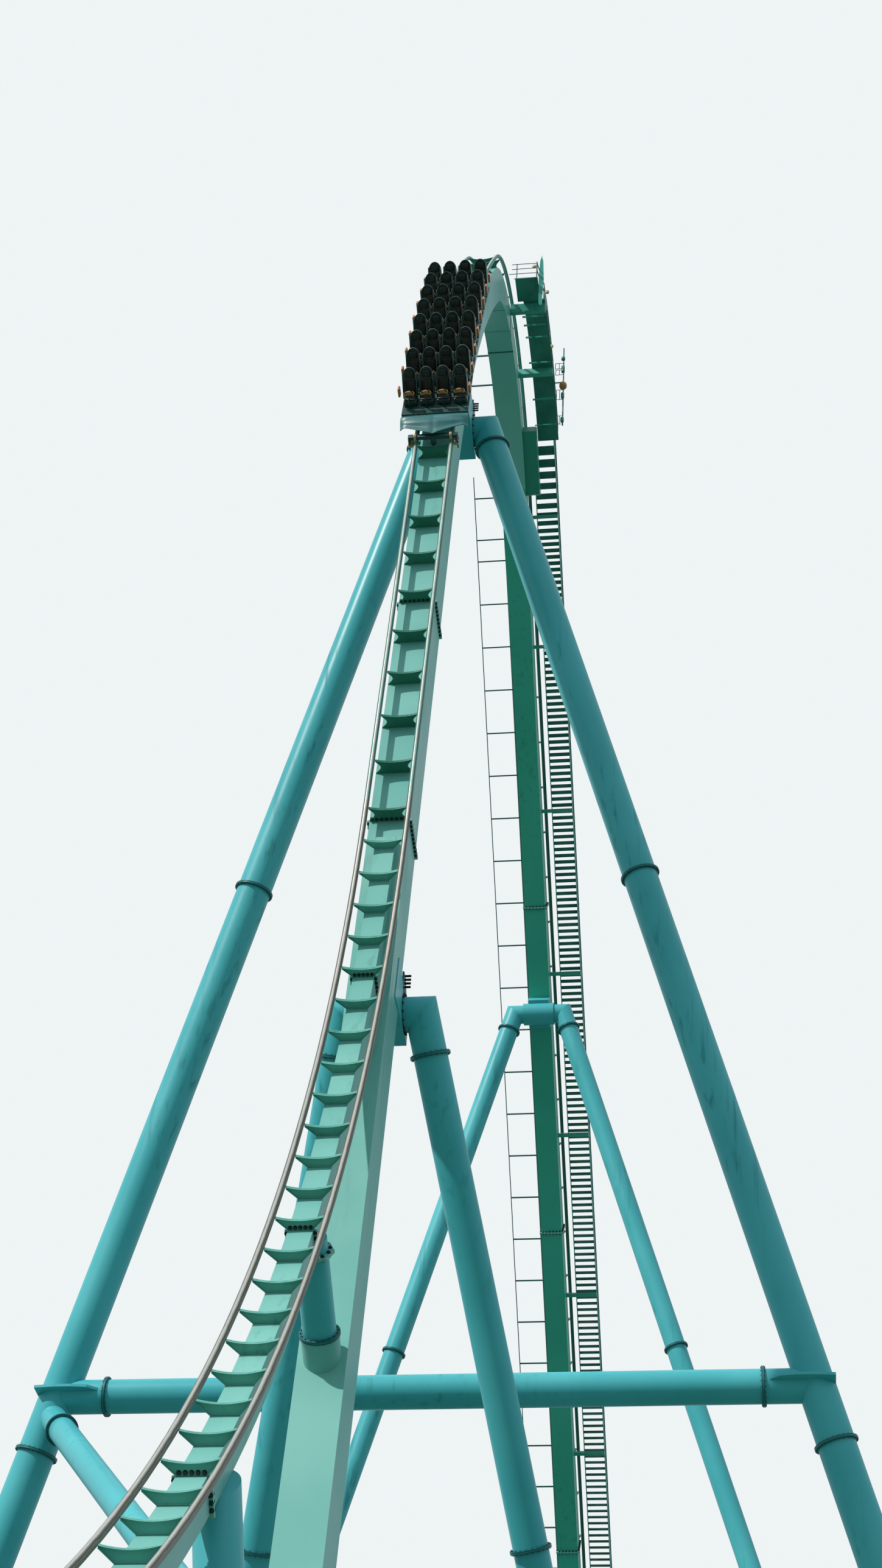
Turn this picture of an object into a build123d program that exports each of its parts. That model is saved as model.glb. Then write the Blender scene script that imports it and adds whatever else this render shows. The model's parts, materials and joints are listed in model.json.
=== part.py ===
from build123d import *
from dataclasses import dataclass
from math import cos, radians, sin, sqrt, tan
import os

# Steel roller coaster crest at one tenth of its real size, in millimetres of the model.
# The track lies in the plane X = 0. It climbs a lift hill at 45 degrees on the +Y side, goes
# over a tight crest and drops at 80 degrees towards -Y into a long pull-out near the ground.
# The origin is the middle of the main column's foot on the ground, and Z is up.

# Track profile, measured on the centre line midway between the rail centres
GAUGE = 120.0
RAIL_RADIUS = 7.8
VALLEY_HEIGHT = 542.0
PULL_OUT_RADIUS = 4930.0
DROP_ANGLE = 80.0
EASE_RADIUS = 5770.0
EASE_END_ANGLE = 57.0
CREST_RADIUS = 934.0
CREST_HEIGHT = 8955.0
LIFT_ANGLE = 45.0
ENTRY_RADIUS = 1560.0
ENTRY_HEIGHT = 335.0
ENTRY_RUN = 320.0

# Box spines: width, distance of the top face under the rail centres, and depth
WIDE_WIDTH = 111.0
WIDE_FACE = 47.0
WIDE_DEPTH = 136.0
NARROW_WIDTH = 55.0
NARROW_FACE = 30.0
NARROW_DEPTH = 66.0
NARROW_START = 92.0
LIFT_WIDTH = 94.0
LIFT_FACE = 31.0
LIFT_DEPTH = 136.0
TAPER_LENGTH = 900.0
LIFT_SPLIT = 0.5
PULL_OUT_SPLIT = 0.5

# Cross-ties
TIE_THICKNESS = 3.0
TIE_SAG = 7.5
TIE_LIP = 4.0
WIDE_TIE_PITCH = 209.0
WIDE_TIE_WAIST = 10.0
NARROW_TIE_PITCH = 139.0
TIE_END_CLEAR = 40.0
TIE_ANCHOR = 39.0

# Bolted splices of the spines
SPLICE_THICKNESS = 8.0
SPLICE_PROUD = 7.0
LIFT_SPLICE_START = 1907.0
LIFT_SPLICE_PITCH = 1515.0
PULL_OUT_SPLICES = (5, 13, 21, 29, 37, 45)
COLUMN_SPLICES = (0.0, 1045.0)

# Fits between pieces that are bolted or welded on the real structure
SEAT = 0.3
BASE_THICKNESS = 8.0
BASE_MARGIN = 34.0
COLLAR_PROUD = 8.0
COLLAR_LENGTH = 8.0

# Front support: two raking legs, a crossbar, its knife plates and one diagonal brace
FRONT_HEIGHT = 7070.0
FRONT_TUBE = 110.0
FRONT_ELBOW = 103.0
FRONT_BACK = 232.0
FRONT_FOOT_X = 2092.0
FRONT_FOOT_Y = 2579.0
FRONT_COLLARS = (0.0115, 0.2653, 0.525, 0.78)
CROSSBAR_HEIGHT = 3524.0
CROSSBAR_TUBE = 99.0
CROSSBAR_COLLAR = 148.0
KNIFE_INNER = 131.0
KNIFE_TAPER = 30.0
KNIFE_MARGIN = 22.0
KNIFE_THICKNESS = 8.0
BRACE_TUBE = 78.0
BRACE_HEAD_HEIGHT = 3470.0
BRACE_FOOT_HEIGHT = 2006.0
BRACE_COLLAR = 0.075

# Rear support: two legs that rake far back from the column
REAR_HEIGHT = 3998.0
REAR_TUBE = 91.0
REAR_ELBOW = 104.0
REAR_BACK = 152.0
REAR_FOOT_X = 950.0
REAR_FOOT_Y = 3207.0
REAR_COLLARS = (0.0238, 0.2937, 0.5624, 0.828)

# Boxes behind the wide spine that carry the stubs of both pairs of legs
LEG_HEAD_HALF = 58.0
LEG_HEAD_RISE = 84.0
LEG_HEAD_MARGIN = 14.0

# Frames under the lift hill
LIFT_FRAME_HEIGHTS = (6824.0, 4850.0, 2974.0, 1300.0)
LIFT_FRAME_TUBE = 84.0
HEADER_TUBE = 100.0
HEADER_HALF = 112.0
FRAME_SPLAY = 0.2928
FRAME_LEAN = 0.0687
FRAME_HEAD_RING = 86.0
FRAME_COLLARS = (0.24, 0.47, 0.7)
SADDLE_HEIGHT = 22.0
SADDLE_LENGTH = 130.0

# Strut and columns of the pull-out
STRUT_TUBE = 75.0
STRUT_TIE = 12.4
STRUT_DROP = 190.0
STRUT_RING_REACH = 130.0
STUB_TUBE = 86.0
COLUMN_TUBE = 88.0
COLUMN_TIES = (19.7, 34.0, 46.0)
COLUMN_FOOT_X = (280.0, 0.0, 0.0)

# Stair on the right of the lift hill
STAIR_INNER = 90.0
STAIR_OUTER = 188.0
STRINGER_THICKNESS = 3.0
STRINGER_DEPTH = 26.0
STRINGER_FACE = 20.0
TREAD_PITCH = 29.3
TREAD_FIRST_PITCH = 60.0
TREAD_EASE = 0.925
TREAD_LAP = 1.09
TREAD_THICKNESS = 2.5
BRACKETS_PER_SPLICE = 2
BRACKET_OFFSET = 325.0
BRACKET_TOP = 125.0
BRACKET_LENGTH = 16.0
BRACKET_DEPTH = 22.0
RAIL_TUBE = 4.2
POST_TUBE = 5.2
HANDRAIL_RISE = 105.0
HANDRAIL_SHARES = (0.55, 1.0)
POST_PITCH = 277.0
HANDRAIL_BENDS = 3

# Service walkway on the left of the lift hill
WALKWAY_OUTER = -187.0
WALKWAY_FACE = 60.0
RUNG_START = 314.0
RUNG_PITCH = 197.6
UPPER_RUNGS = (26.0, 216.0)
CREST_RUNGS = (-702.0, -536.0)
RUNG_SIZE = 6.0
ROD_START = -73.0

# Crest platform, lift motor housing and instrument mast
DECK_INNER = 114.0
DECK_OUTER = 208.0
DECK_THICKNESS = 5.0
DECK_LANDING = 120.0
DECK_START_ANGLE = 17.0
DECK_END_ANGLE = -31.0
DECK_STATIONS = 6
PLATFORM_ARM_ANGLES = (15.0, -9.5)
HOUSING_WIDTH = 62.0
HOUSING_DEPTH = 74.0
HOUSING_START_ANGLE = -25.5
HOUSING_RUN = 27.0
MAST_HEIGHT = 530.0
MAST_RISE = 238.0
MAST_ANGLE = -14.0
MAST_TUBE = 6.0
MAST_ARM = 41.0

# Lift chain trough on top of the lift spine
TROUGH_WIDTH = 34.0
TROUGH_DEPTH = 12.0

# Train: eight cars of four seats in a row, and a nose fairing
CAR_COUNT = 8
CAR_PITCH = 147.0
CAR_GAP = 12.0
TRAIN_FRONT = 172.0
FLOOR_WIDTH = 226.0
FLOOR_RISE = 37.0
FLOOR_THICKNESS = 8.0
SEAT_COUNT = 4
SEAT_PITCH = 57.0
SEAT_WIDTH = 50.0
SEAT_BASE = 24.0
SEAT_BACK_HEIGHT = 112.0
SEAT_BACK_THICKNESS = 13.0
SEAT_BACK_ROUND = 21.0
SEAT_LENGTH = 58.0
SEAT_AHEAD = 14.0
BAR_WIDTH = 36.0
BAR_RISE = 46.0
BAR_PAD = 20.0
BAR_STALK = 3.0
BAR_BEHIND = 6.0
WHEEL_RADIUS = 13.0
WHEEL_WIDTH = 9.0
AXLE_SIZE = 12.0
NOSE_WIDTH = 232.0
NOSE_LENGTH = 124.0
NOSE_BACK_HEIGHT = 5.0
NOSE_HEIGHT = 18.0
NOSE_DROP = 14.0
NOSE_FLAT = 44.0
NOSE_TIP_RISE = 8.0
NOSE_TIP_DROP = 8.0
NOSE_UNDERCUT = 10.0

WIDE_CENTRE = WIDE_FACE + WIDE_DEPTH / 2
NARROW_UNDER = NARROW_FACE + NARROW_DEPTH
LIFT_UNDER = LIFT_FACE + LIFT_DEPTH
NODES = {}


@dataclass
class Station:
    """A place on the track: its coordinates and its heading in degrees above +Y."""
    y: float
    z: float
    heading: float

    def offset(self, under, ahead=0.0):
        """The (y, z) point this far under the rail centres, and ahead along the track."""
        c = cos(radians(self.heading))
        s = sin(radians(self.heading))
        return self.y + under * s + ahead * c, self.z - under * c + ahead * s


@dataclass
class Segment:
    """A straight or an arc of the track; turn is in degrees, positive when it steepens."""
    start: Station
    begin: float
    length: float
    turn: float

    def at(self, along):
        """The station this far along the whole track."""
        d = along - self.begin
        a = radians(self.start.heading)
        if self.turn == 0:
            return Station(self.start.y + d * cos(a), self.start.z + d * sin(a), self.start.heading)
        radius = self.length / radians(self.turn)
        b = a + d / radius
        y = self.start.y + radius * (sin(b) - sin(a))
        z = self.start.z + radius * (cos(a) - cos(b))
        return Station(y, z, self.start.heading + d / self.length * self.turn)


def track_segments():
    """The track from the valley, up the drop, over the crest and down the lift hill."""
    drop, ease = radians(DROP_ANGLE), radians(EASE_END_ANGLE)
    lift = radians(LIFT_ANGLE)
    pull_out_top = VALLEY_HEIGHT + PULL_OUT_RADIUS * (1 - cos(drop))
    ease_rise = EASE_RADIUS * (cos(ease) - cos(drop))
    straight = (CREST_HEIGHT - CREST_RADIUS * (1 - cos(ease)) - ease_rise - pull_out_top) / sin(drop)
    lift_drop = CREST_HEIGHT - CREST_RADIUS * (1 - cos(lift)) - ENTRY_HEIGHT
    lift_length = (lift_drop - ENTRY_RADIUS * (1 - cos(lift))) / sin(lift)
    # The straight's centre line runs in front of the main column, which passes the origin
    front_line_y = (pull_out_top - WIDE_CENTRE * cos(drop)) / tan(drop) - WIDE_CENTRE * sin(drop)
    here = Station(front_line_y - PULL_OUT_RADIUS * sin(drop), VALLEY_HEIGHT, 0.0)
    plan = [
        (PULL_OUT_RADIUS * drop, DROP_ANGLE),
        (straight, 0.0),
        (EASE_RADIUS * (drop - ease), EASE_END_ANGLE - DROP_ANGLE),
        (CREST_RADIUS * (ease + lift), -EASE_END_ANGLE - LIFT_ANGLE),
        (lift_length, 0.0),
        (ENTRY_RADIUS * lift, LIFT_ANGLE),
        (ENTRY_RUN, 0.0),
    ]
    segments = []
    along = 0.0
    for length, turn in plan:
        segment = Segment(here, along, length, turn)
        segments.append(segment)
        along += length
        here = segment.at(along)
    return segments


TRACK = track_segments()
PULL_OUT, DROP, EASE, CREST, LIFT, ENTRY, RUN_IN = TRACK
TRACK_END = RUN_IN.begin + RUN_IN.length
FIRST_TIE = DROP.begin - TIE_ANCHOR


def end_of(segment):
    """How far along the track a segment ends."""
    return segment.begin + segment.length


def station(along):
    """The station this far along the whole track."""
    for segment in TRACK:
        if along <= end_of(segment):
            return segment.at(along)
    return RUN_IN.at(along)


def find_height(segment, height, under):
    """Where on a segment the line this far under the rail centres has a given height."""
    low, high = segment.begin, end_of(segment)
    rising = segment.at(high).offset(under)[1] > segment.at(low).offset(under)[1]
    for _ in range(60):
        middle = (low + high) / 2
        if (segment.at(middle).offset(under)[1] < height) == rising:
            low = middle
        else:
            high = middle
    return (low + high) / 2


def offset_edges(start, end, under):
    """Edges along the track between two places, at one depth under the rail centres."""
    edges = []
    for segment in TRACK:
        a, b = max(start, segment.begin), min(end, end_of(segment))
        if b - a < 0.001:
            continue
        points = [(0, *segment.at(a + (b - a) * t).offset(under)) for t in (0, 0.5, 1)]
        if segment.turn == 0:
            edges.append(Line(points[0], points[2]))
        else:
            edges.append(ThreePointArc(*points))
    return edges


def ribbon(start, end, top, bottom, x_low, x_high):
    """A box section that follows the track from start to end."""
    upper, lower = offset_edges(start, end, top), offset_edges(start, end, bottom)
    caps = [
        Line((0, *station(start).offset(top)), (0, *station(start).offset(bottom))),
        Line((0, *station(end).offset(top)), (0, *station(end).offset(bottom))),
    ]
    face = make_face([*upper, *lower, *caps])
    return thicken_face(face, x_low, x_high)


def thicken_face(face, x_low, x_high):
    """A prism of a face in the plane X = 0, from one X to another."""
    solid = extrude(face, amount=x_high - x_low, dir=(1, 0, 0))
    return Pos(x_low, 0, 0) * solid


def cut_block(points, x_low, x_high):
    """A prism of an outline of (y, z) points."""
    face = make_face([Polyline(*[(0, y, z) for y, z in points], close=True)])
    return thicken_face(face, x_low, x_high)


def track_plane(along, under=0.0):
    """A plane across the track: its X is the world's X, its Y is up off the track."""
    here = station(along)
    a = radians(here.heading)
    y, z = here.offset(under)
    return Plane(origin=(0, y, z), x_dir=(1, 0, 0), z_dir=(0, -cos(a), -sin(a)))


def car_plane(along):
    """A plane on the track whose Z is up off the track and whose Y goes uphill."""
    here = station(along)
    a = radians(here.heading)
    return Plane(origin=(0, here.y, here.z), x_dir=(1, 0, 0), z_dir=(0, -sin(a), cos(a)))


def rod(start, end, radius):
    """A round bar between two points."""
    direction = Vector(*end) - Vector(*start)
    plane = Plane(origin=start, z_dir=direction)
    return Solid.make_cylinder(radius, direction.length, plane)


def mitred_pipe(points, radius):
    """A pipe along straight runs with mitred bends."""
    path = Wire(Polyline(*points).edges())
    first = Vector(*points[1]) - Vector(*points[0])
    section = Plane(origin=points[0], z_dir=first) * Circle(radius)
    return sweep(section, path=path, transition=Transition.RIGHT)


def above_base(shape):
    """What lies over the top of the base plates."""
    return split(shape, bisect_by=Plane.XY.offset(BASE_THICKNESS), keep=Keep.TOP)


def between(start, end, share):
    """The point at a share of the way from start to end."""
    return tuple(a + (b - a) * share for a, b in zip(start, end))


def collar(start, end, share, pipe_radius):
    """A bolted flange pair around a pipe."""
    middle = Vector(*between(start, end, share))
    half = (Vector(*end) - Vector(*start)).normalized() * (COLLAR_LENGTH / 2)
    return rod(tuple(middle - half), tuple(middle + half), pipe_radius + COLLAR_PROUD)


def largest(shape):
    """The largest solid of a shape."""
    return max(shape.solids(), key=lambda solid: solid.volume)


def add(name, *shapes):
    """Keep a node: its solids under its name."""
    solids = [solid for shape in shapes for solid in shape.solids()]
    NODES[name] = solids


def rail_pair(start, end):
    """Both running rails over a stretch of the track."""
    rails = []
    for side in (-1, 1):
        path = Wire([Pos(side * GAUGE / 2, 0, 0) * edge for edge in offset_edges(start, end, 0)])
        here = station(start)
        a = radians(here.heading)
        plane = Plane(origin=(side * GAUGE / 2, here.y, here.z), z_dir=(0, cos(a), sin(a)))
        rails.append(sweep(plane * Circle(RAIL_RADIUS), path=path))
    return rails


def tie_outline(width, face, waist):
    """A cross-tie's outline from rail to rail and down to the spine's top face."""
    half = GAUGE / 2 - SEAT
    foot = width / 2 - SEAT
    low = -face + SEAT
    edges = [ThreePointArc((-half, 0), (0, -TIE_SAG), (half, 0)), Line((-foot, low), (foot, low))]
    for side in (-1, 1):
        edges.append(Line((side * half, 0), (side * half, -TIE_LIP)))
        if waist:
            middle = (side * (foot - waist), (low - TIE_LIP) / 2)
            edges.append(ThreePointArc((side * half, -TIE_LIP), middle, (side * foot, low)))
        else:
            edges.append(Line((side * half, -TIE_LIP), (side * foot, low)))
    outline = make_face(edges)
    for side in (-1, 1):
        outline -= Pos(side * GAUGE / 2, 0) * Circle(RAIL_RADIUS + SEAT)
    return outline


def tie_places(start, end, pitch, anchor=None):
    """Where the ties of a stretch stand, counted from an anchor or centred on the stretch."""
    if anchor is None:
        count = int((end - start - 2 * TIE_END_CLEAR) // pitch)
        anchor = start + (end - start - count * pitch) / 2
    first = anchor - int((anchor - start - TIE_END_CLEAR) // pitch) * pitch
    count = int((end - TIE_END_CLEAR - first) // pitch)
    return [first + i * pitch for i in range(count + 1)]


def ties(places, outline):
    """Cross-ties at their places along the track."""
    plate = extrude(outline, amount=TIE_THICKNESS / 2, both=True)
    return [track_plane(along).location * plate for along in places]


def splice(along, width, face, depth):
    """A bolted splice: a flange ring around the box spine."""
    middle = -face - depth / 2
    # The ring's top edge stays level with the spine's face, so the ties stay clear
    ring = Pos(0, middle - SPLICE_PROUD / 2) * Rectangle(
        width + 2 * SPLICE_PROUD, depth + SPLICE_PROUD
    )
    ring -= Pos(0, middle + SPLICE_PROUD / 2) * Rectangle(width + 2 * SEAT, depth + SPLICE_PROUD + 2 * SEAT)
    return track_plane(along).location * extrude(ring, amount=SPLICE_THICKNESS / 2, both=True)


def base_plate(x, y, radius):
    """A round base plate on the ground."""
    plate = Solid.make_cylinder(radius + BASE_MARGIN, BASE_THICKNESS)
    return Pos(x, y, 0) * plate


def column_y(height):
    """The Y of the main column's centre line at a height."""
    return height / tan(radians(DROP_ANGLE))


def column_outline():
    """The main column's outline in the plane X = 0, from the base plate to the easing arc."""
    top = station(end_of(DROP))
    slope = tan(radians(DROP_ANGLE))
    points = []
    for under in (WIDE_FACE, WIDE_FACE + WIDE_DEPTH):
        y, z = top.offset(under)
        foot_y = y - (z - BASE_THICKNESS) / slope
        points.append([(foot_y, BASE_THICKNESS), (y, z)])
    return [*points[0], *reversed(points[1])]


def build_spines():
    """The box girders that carry the rails."""
    half = WIDE_WIDTH / 2
    column = cut_block(column_outline(), -half, half)
    add("main_column", column)
    wide_under = WIDE_FACE + WIDE_DEPTH
    add("drop_spine", ribbon(EASE.begin, CREST.begin, WIDE_FACE, wide_under, -half, half))
    add("crest_spine", ribbon(CREST.begin, LIFT.begin, WIDE_FACE, wide_under, -half, half))

    sections = [
        track_plane(LIFT.begin, WIDE_CENTRE) * Rectangle(WIDE_WIDTH, WIDE_DEPTH),
        track_plane(LIFT.begin + TAPER_LENGTH, LIFT_FACE + LIFT_DEPTH / 2) * Rectangle(LIFT_WIDTH, LIFT_DEPTH),
    ]
    taper = loft(sections)
    lift_half = LIFT_WIDTH / 2
    middle = LIFT.begin + LIFT.length * LIFT_SPLIT
    upper = ribbon(LIFT.begin + TAPER_LENGTH, middle, LIFT_FACE, LIFT_UNDER, -lift_half, lift_half)
    lift_spine = taper + upper
    add("lift_spine_upper", lift_spine)
    add("lift_spine_lower", ribbon(middle, TRACK_END, LIFT_FACE, LIFT_UNDER, -lift_half, lift_half))

    narrow_half = NARROW_WIDTH / 2
    middle = PULL_OUT.length * PULL_OUT_SPLIT
    upper = ribbon(middle, FIRST_TIE - NARROW_START, NARROW_FACE, NARROW_UNDER, -narrow_half, narrow_half)
    add("pull_out_spine_upper", largest(upper - column))
    lower = ribbon(0, middle, NARROW_FACE, NARROW_UNDER, -narrow_half, narrow_half)
    add("pull_out_spine_lower", lower)
    return column, lift_spine


def build_track(column):
    """Rails, cross-ties, splices and the chain trough."""
    add("pull_out_rails", *rail_pair(0, DROP.begin))
    add("crest_rails", *rail_pair(DROP.begin, LIFT.begin))
    add("lift_rails", *rail_pair(LIFT.begin, TRACK_END))

    wide = tie_outline(WIDE_WIDTH, WIDE_FACE, WIDE_TIE_WAIST)
    narrow = tie_outline(NARROW_WIDTH, NARROW_FACE, 0)
    lift = tie_outline(LIFT_WIDTH, LIFT_FACE, 0)
    add("pull_out_ties", *ties(tie_places(0, DROP.begin, NARROW_TIE_PITCH, FIRST_TIE), narrow))
    wide_places = tie_places(FIRST_TIE - NARROW_START, LIFT.begin, WIDE_TIE_PITCH, FIRST_TIE)
    add("crest_ties", *ties(wide_places, wide))
    add("lift_ties", *ties(tie_places(LIFT.begin + TAPER_LENGTH, TRACK_END, WIDE_TIE_PITCH), lift))

    rings = []
    for number in PULL_OUT_SPLICES:
        along = FIRST_TIE - number * NARROW_TIE_PITCH
        rings.append(largest(splice(along, NARROW_WIDTH, NARROW_FACE, NARROW_DEPTH) - column))
    for distance in COLUMN_SPLICES:
        rings.append(splice(FIRST_TIE + distance, WIDE_WIDTH, WIDE_FACE, WIDE_DEPTH))
    first = LIFT.begin + LIFT_SPLICE_START
    count = int((ENTRY.begin - first) // LIFT_SPLICE_PITCH)
    for i in range(count + 1):
        rings.append(splice(first + i * LIFT_SPLICE_PITCH, LIFT_WIDTH, LIFT_FACE, LIFT_DEPTH))
    return rings


@dataclass
class Leg:
    """A pipe leg from its elbow beside the spine down to the ground."""
    stub: tuple
    elbow: tuple
    foot: tuple
    radius: float
    collars: tuple

    def mirrored(self):
        """The same leg on the other side of the track."""
        flip = [(-x, y, z) for x, y, z in (self.stub, self.elbow, self.foot)]
        return Leg(*flip, self.radius, self.collars)

    def below(self):
        """A point on the leg's axis under the ground, for a clean cut at the base plate."""
        return between(self.elbow, self.foot, 1.02)

    def solid(self):
        """The leg with its elbow and flange collars, cut at the base plate."""
        pipe = mitred_pipe([self.stub, self.elbow, self.below()], self.radius)
        for share in self.collars:
            pipe += collar(self.elbow, self.foot, share, self.radius)
        return largest(above_base(pipe))

    def at_height(self, height):
        """The point of the leg's axis at a height."""
        share = (self.elbow[2] - height) / (self.elbow[2] - self.foot[2])
        return between(self.elbow, self.foot, share)

    def base(self):
        """The leg's base plate."""
        return base_plate(self.foot[0], self.foot[1], self.radius)


def spine_centre(height):
    """The Y of the wide spine's centre line at a height, on the column or on the easing arc."""
    if height < station(end_of(DROP)).offset(WIDE_CENTRE)[1]:
        return column_y(height)
    return EASE.at(find_height(EASE, height, WIDE_CENTRE)).offset(WIDE_CENTRE)[0]


def headed_leg(height, elbow_x, back, foot, tube, collars):
    """A leg whose stub seats square on the side of the box behind the wide spine."""
    y = spine_centre(height) + back
    stub = (LEG_HEAD_HALF + SEAT, y, height)
    return Leg(stub, (elbow_x, y, height), (*foot, 0.0), tube / 2, collars)


def leg_head(height, back, tube, spine):
    """The box behind the wide spine that both stubs of a pair of legs seat on."""
    y = spine_centre(height) + back
    reach = tube / 2 + LEG_HEAD_MARGIN
    low = height - reach
    high = height + LEG_HEAD_RISE
    outline = [
        (spine_centre(low), low), (y + reach, low), (y + reach, height + reach),
        (y - reach, height + reach), (spine_centre(high), high),
    ]
    return largest(cut_block(outline, -LEG_HEAD_HALF, LEG_HEAD_HALF) - spine)


def build_front_support(column):
    """The tall raking support with its crossbar."""
    foot = (FRONT_FOOT_X, FRONT_FOOT_Y)
    right = headed_leg(FRONT_HEIGHT, FRONT_ELBOW, FRONT_BACK, foot, FRONT_TUBE, FRONT_COLLARS)
    add("front_leg_head", leg_head(FRONT_HEIGHT, FRONT_BACK, FRONT_TUBE, NODES["drop_spine"][0]))
    left = right.mirrored()
    solids = {"right": right.solid(), "left": left.solid()}
    for side, solid in solids.items():
        add(f"front_leg_{side}", solid)

    joint = right.at_height(CROSSBAR_HEIGHT)
    far = left.at_height(CROSSBAR_HEIGHT)
    bar = rod(far, joint, CROSSBAR_TUBE / 2)
    span = 2 * joint[0]
    for share in (CROSSBAR_COLLAR / span, 1 - CROSSBAR_COLLAR / span):
        bar += collar(far, joint, share, CROSSBAR_TUBE / 2)
    for leg in (left, right):
        bar -= rod(leg.elbow, leg.foot, leg.radius + SEAT)
    bar = largest(bar)
    add("front_crossbar", bar)

    seat = (-WIDE_WIDTH / 2, column_y(BRACE_FOOT_HEIGHT), BRACE_FOOT_HEIGHT)
    start = left.at_height(BRACE_HEAD_HEIGHT)
    brace = rod(start, between(start, seat, 1.05), BRACE_TUBE / 2)
    brace += collar(start, seat, BRACE_COLLAR, BRACE_TUBE / 2)
    brace -= rod(left.elbow, left.foot, left.radius + SEAT)
    brace -= rod(far, joint, CROSSBAR_TUBE / 2 + SEAT)
    add("front_brace", largest(brace - column))

    plates = []
    for side in (-1, 1):
        plate = knife_plate(joint, right.radius, side)
        for leg in (left, right):
            plate -= rod(leg.elbow, leg.foot, leg.radius + SEAT)
        plate -= rod(far, joint, CROSSBAR_TUBE / 2 + SEAT)
        plate -= rod(start, between(start, seat, 0.5), BRACE_TUBE / 2 + SEAT)
        plates.extend(solid for solid in plate.solids() if solid.volume > KNIFE_THICKNESS ** 3)
    add("front_knife_plates", *plates)
    return [right, left]


def knife_plate(joint, radius, side):
    """A level plate that wraps a leg at the crossbar's height and narrows over the crossbar."""
    x, y, z = joint
    outer = radius + KNIFE_MARGIN
    inner = CROSSBAR_TUBE / 2 + KNIFE_MARGIN
    corners = [
        (x + radius, y - inner), (x, y - outer), (x - radius, y - outer),
        (x - KNIFE_INNER + KNIFE_TAPER, y - inner), (x - KNIFE_INNER, y - inner + KNIFE_MARGIN),
        (x - KNIFE_INNER, y + inner - KNIFE_MARGIN), (x - KNIFE_INNER + KNIFE_TAPER, y + inner),
        (x - radius, y + outer), (x, y + outer), (x + radius, y + inner),
    ]
    face = make_face([Polyline(*[(side * a, b, z - KNIFE_THICKNESS / 2) for a, b in corners], close=True)])
    return extrude(face, amount=KNIFE_THICKNESS, dir=(0, 0, 1))


def build_rear_support(column):
    """The pair of legs that brace the column from behind."""
    foot = (REAR_FOOT_X, REAR_FOOT_Y)
    right = headed_leg(REAR_HEIGHT, REAR_ELBOW, REAR_BACK, foot, REAR_TUBE, REAR_COLLARS)
    add("rear_leg_head", leg_head(REAR_HEIGHT, REAR_BACK, REAR_TUBE, column))
    left = right.mirrored()
    add("rear_leg_right", right.solid())
    add("rear_leg_left", left.solid())
    return [right, left]


def build_lift_frames():
    """The frames under the lift hill: a header under a saddle, and two legs each."""
    legs, headers, saddles = [], [], []
    header_under = LIFT_UNDER + SADDLE_HEIGHT + HEADER_TUBE / 2
    for number, height in enumerate(LIFT_FRAME_HEIGHTS, 1):
        along = find_height(LIFT, height, header_under)
        y, z = station(along).offset(header_under)
        elbow = (HEADER_HALF, y, z)
        foot = (HEADER_HALF + z * FRAME_SPLAY, y + z * FRAME_LEAN, 0.0)
        stub = (HEADER_HALF - SEAT - LIFT_FRAME_TUBE / 2, y, z)
        head_ring = FRAME_HEAD_RING / (Vector(*foot) - Vector(*elbow)).length
        right = Leg(stub, elbow, foot, LIFT_FRAME_TUBE / 2, (head_ring, *FRAME_COLLARS))
        left = right.mirrored()
        reach = stub[0] - SEAT
        header = rod((-reach, y, z), (reach, y, z), HEADER_TUBE / 2)
        headers.append(header)
        for side, leg in (("right", right), ("left", left)):
            add(f"lift_frame_{number}_leg_{side}", leg.solid())
            legs.append(leg)
        block = Pos(0, -LIFT_UNDER - SEAT - (SADDLE_HEIGHT + HEADER_TUBE / 2) / 2) * Rectangle(
            LIFT_WIDTH, SADDLE_HEIGHT + HEADER_TUBE / 2
        )
        saddle = track_plane(along).location * extrude(block, amount=SADDLE_LENGTH / 2, both=True)
        saddle -= rod((-LIFT_WIDTH, y, z), (LIFT_WIDTH, y, z), HEADER_TUBE / 2 + SEAT)
        saddles.extend(saddle.solids())
    add("lift_frame_headers", *headers)
    add("lift_frame_saddles", *saddles)
    return legs


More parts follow.
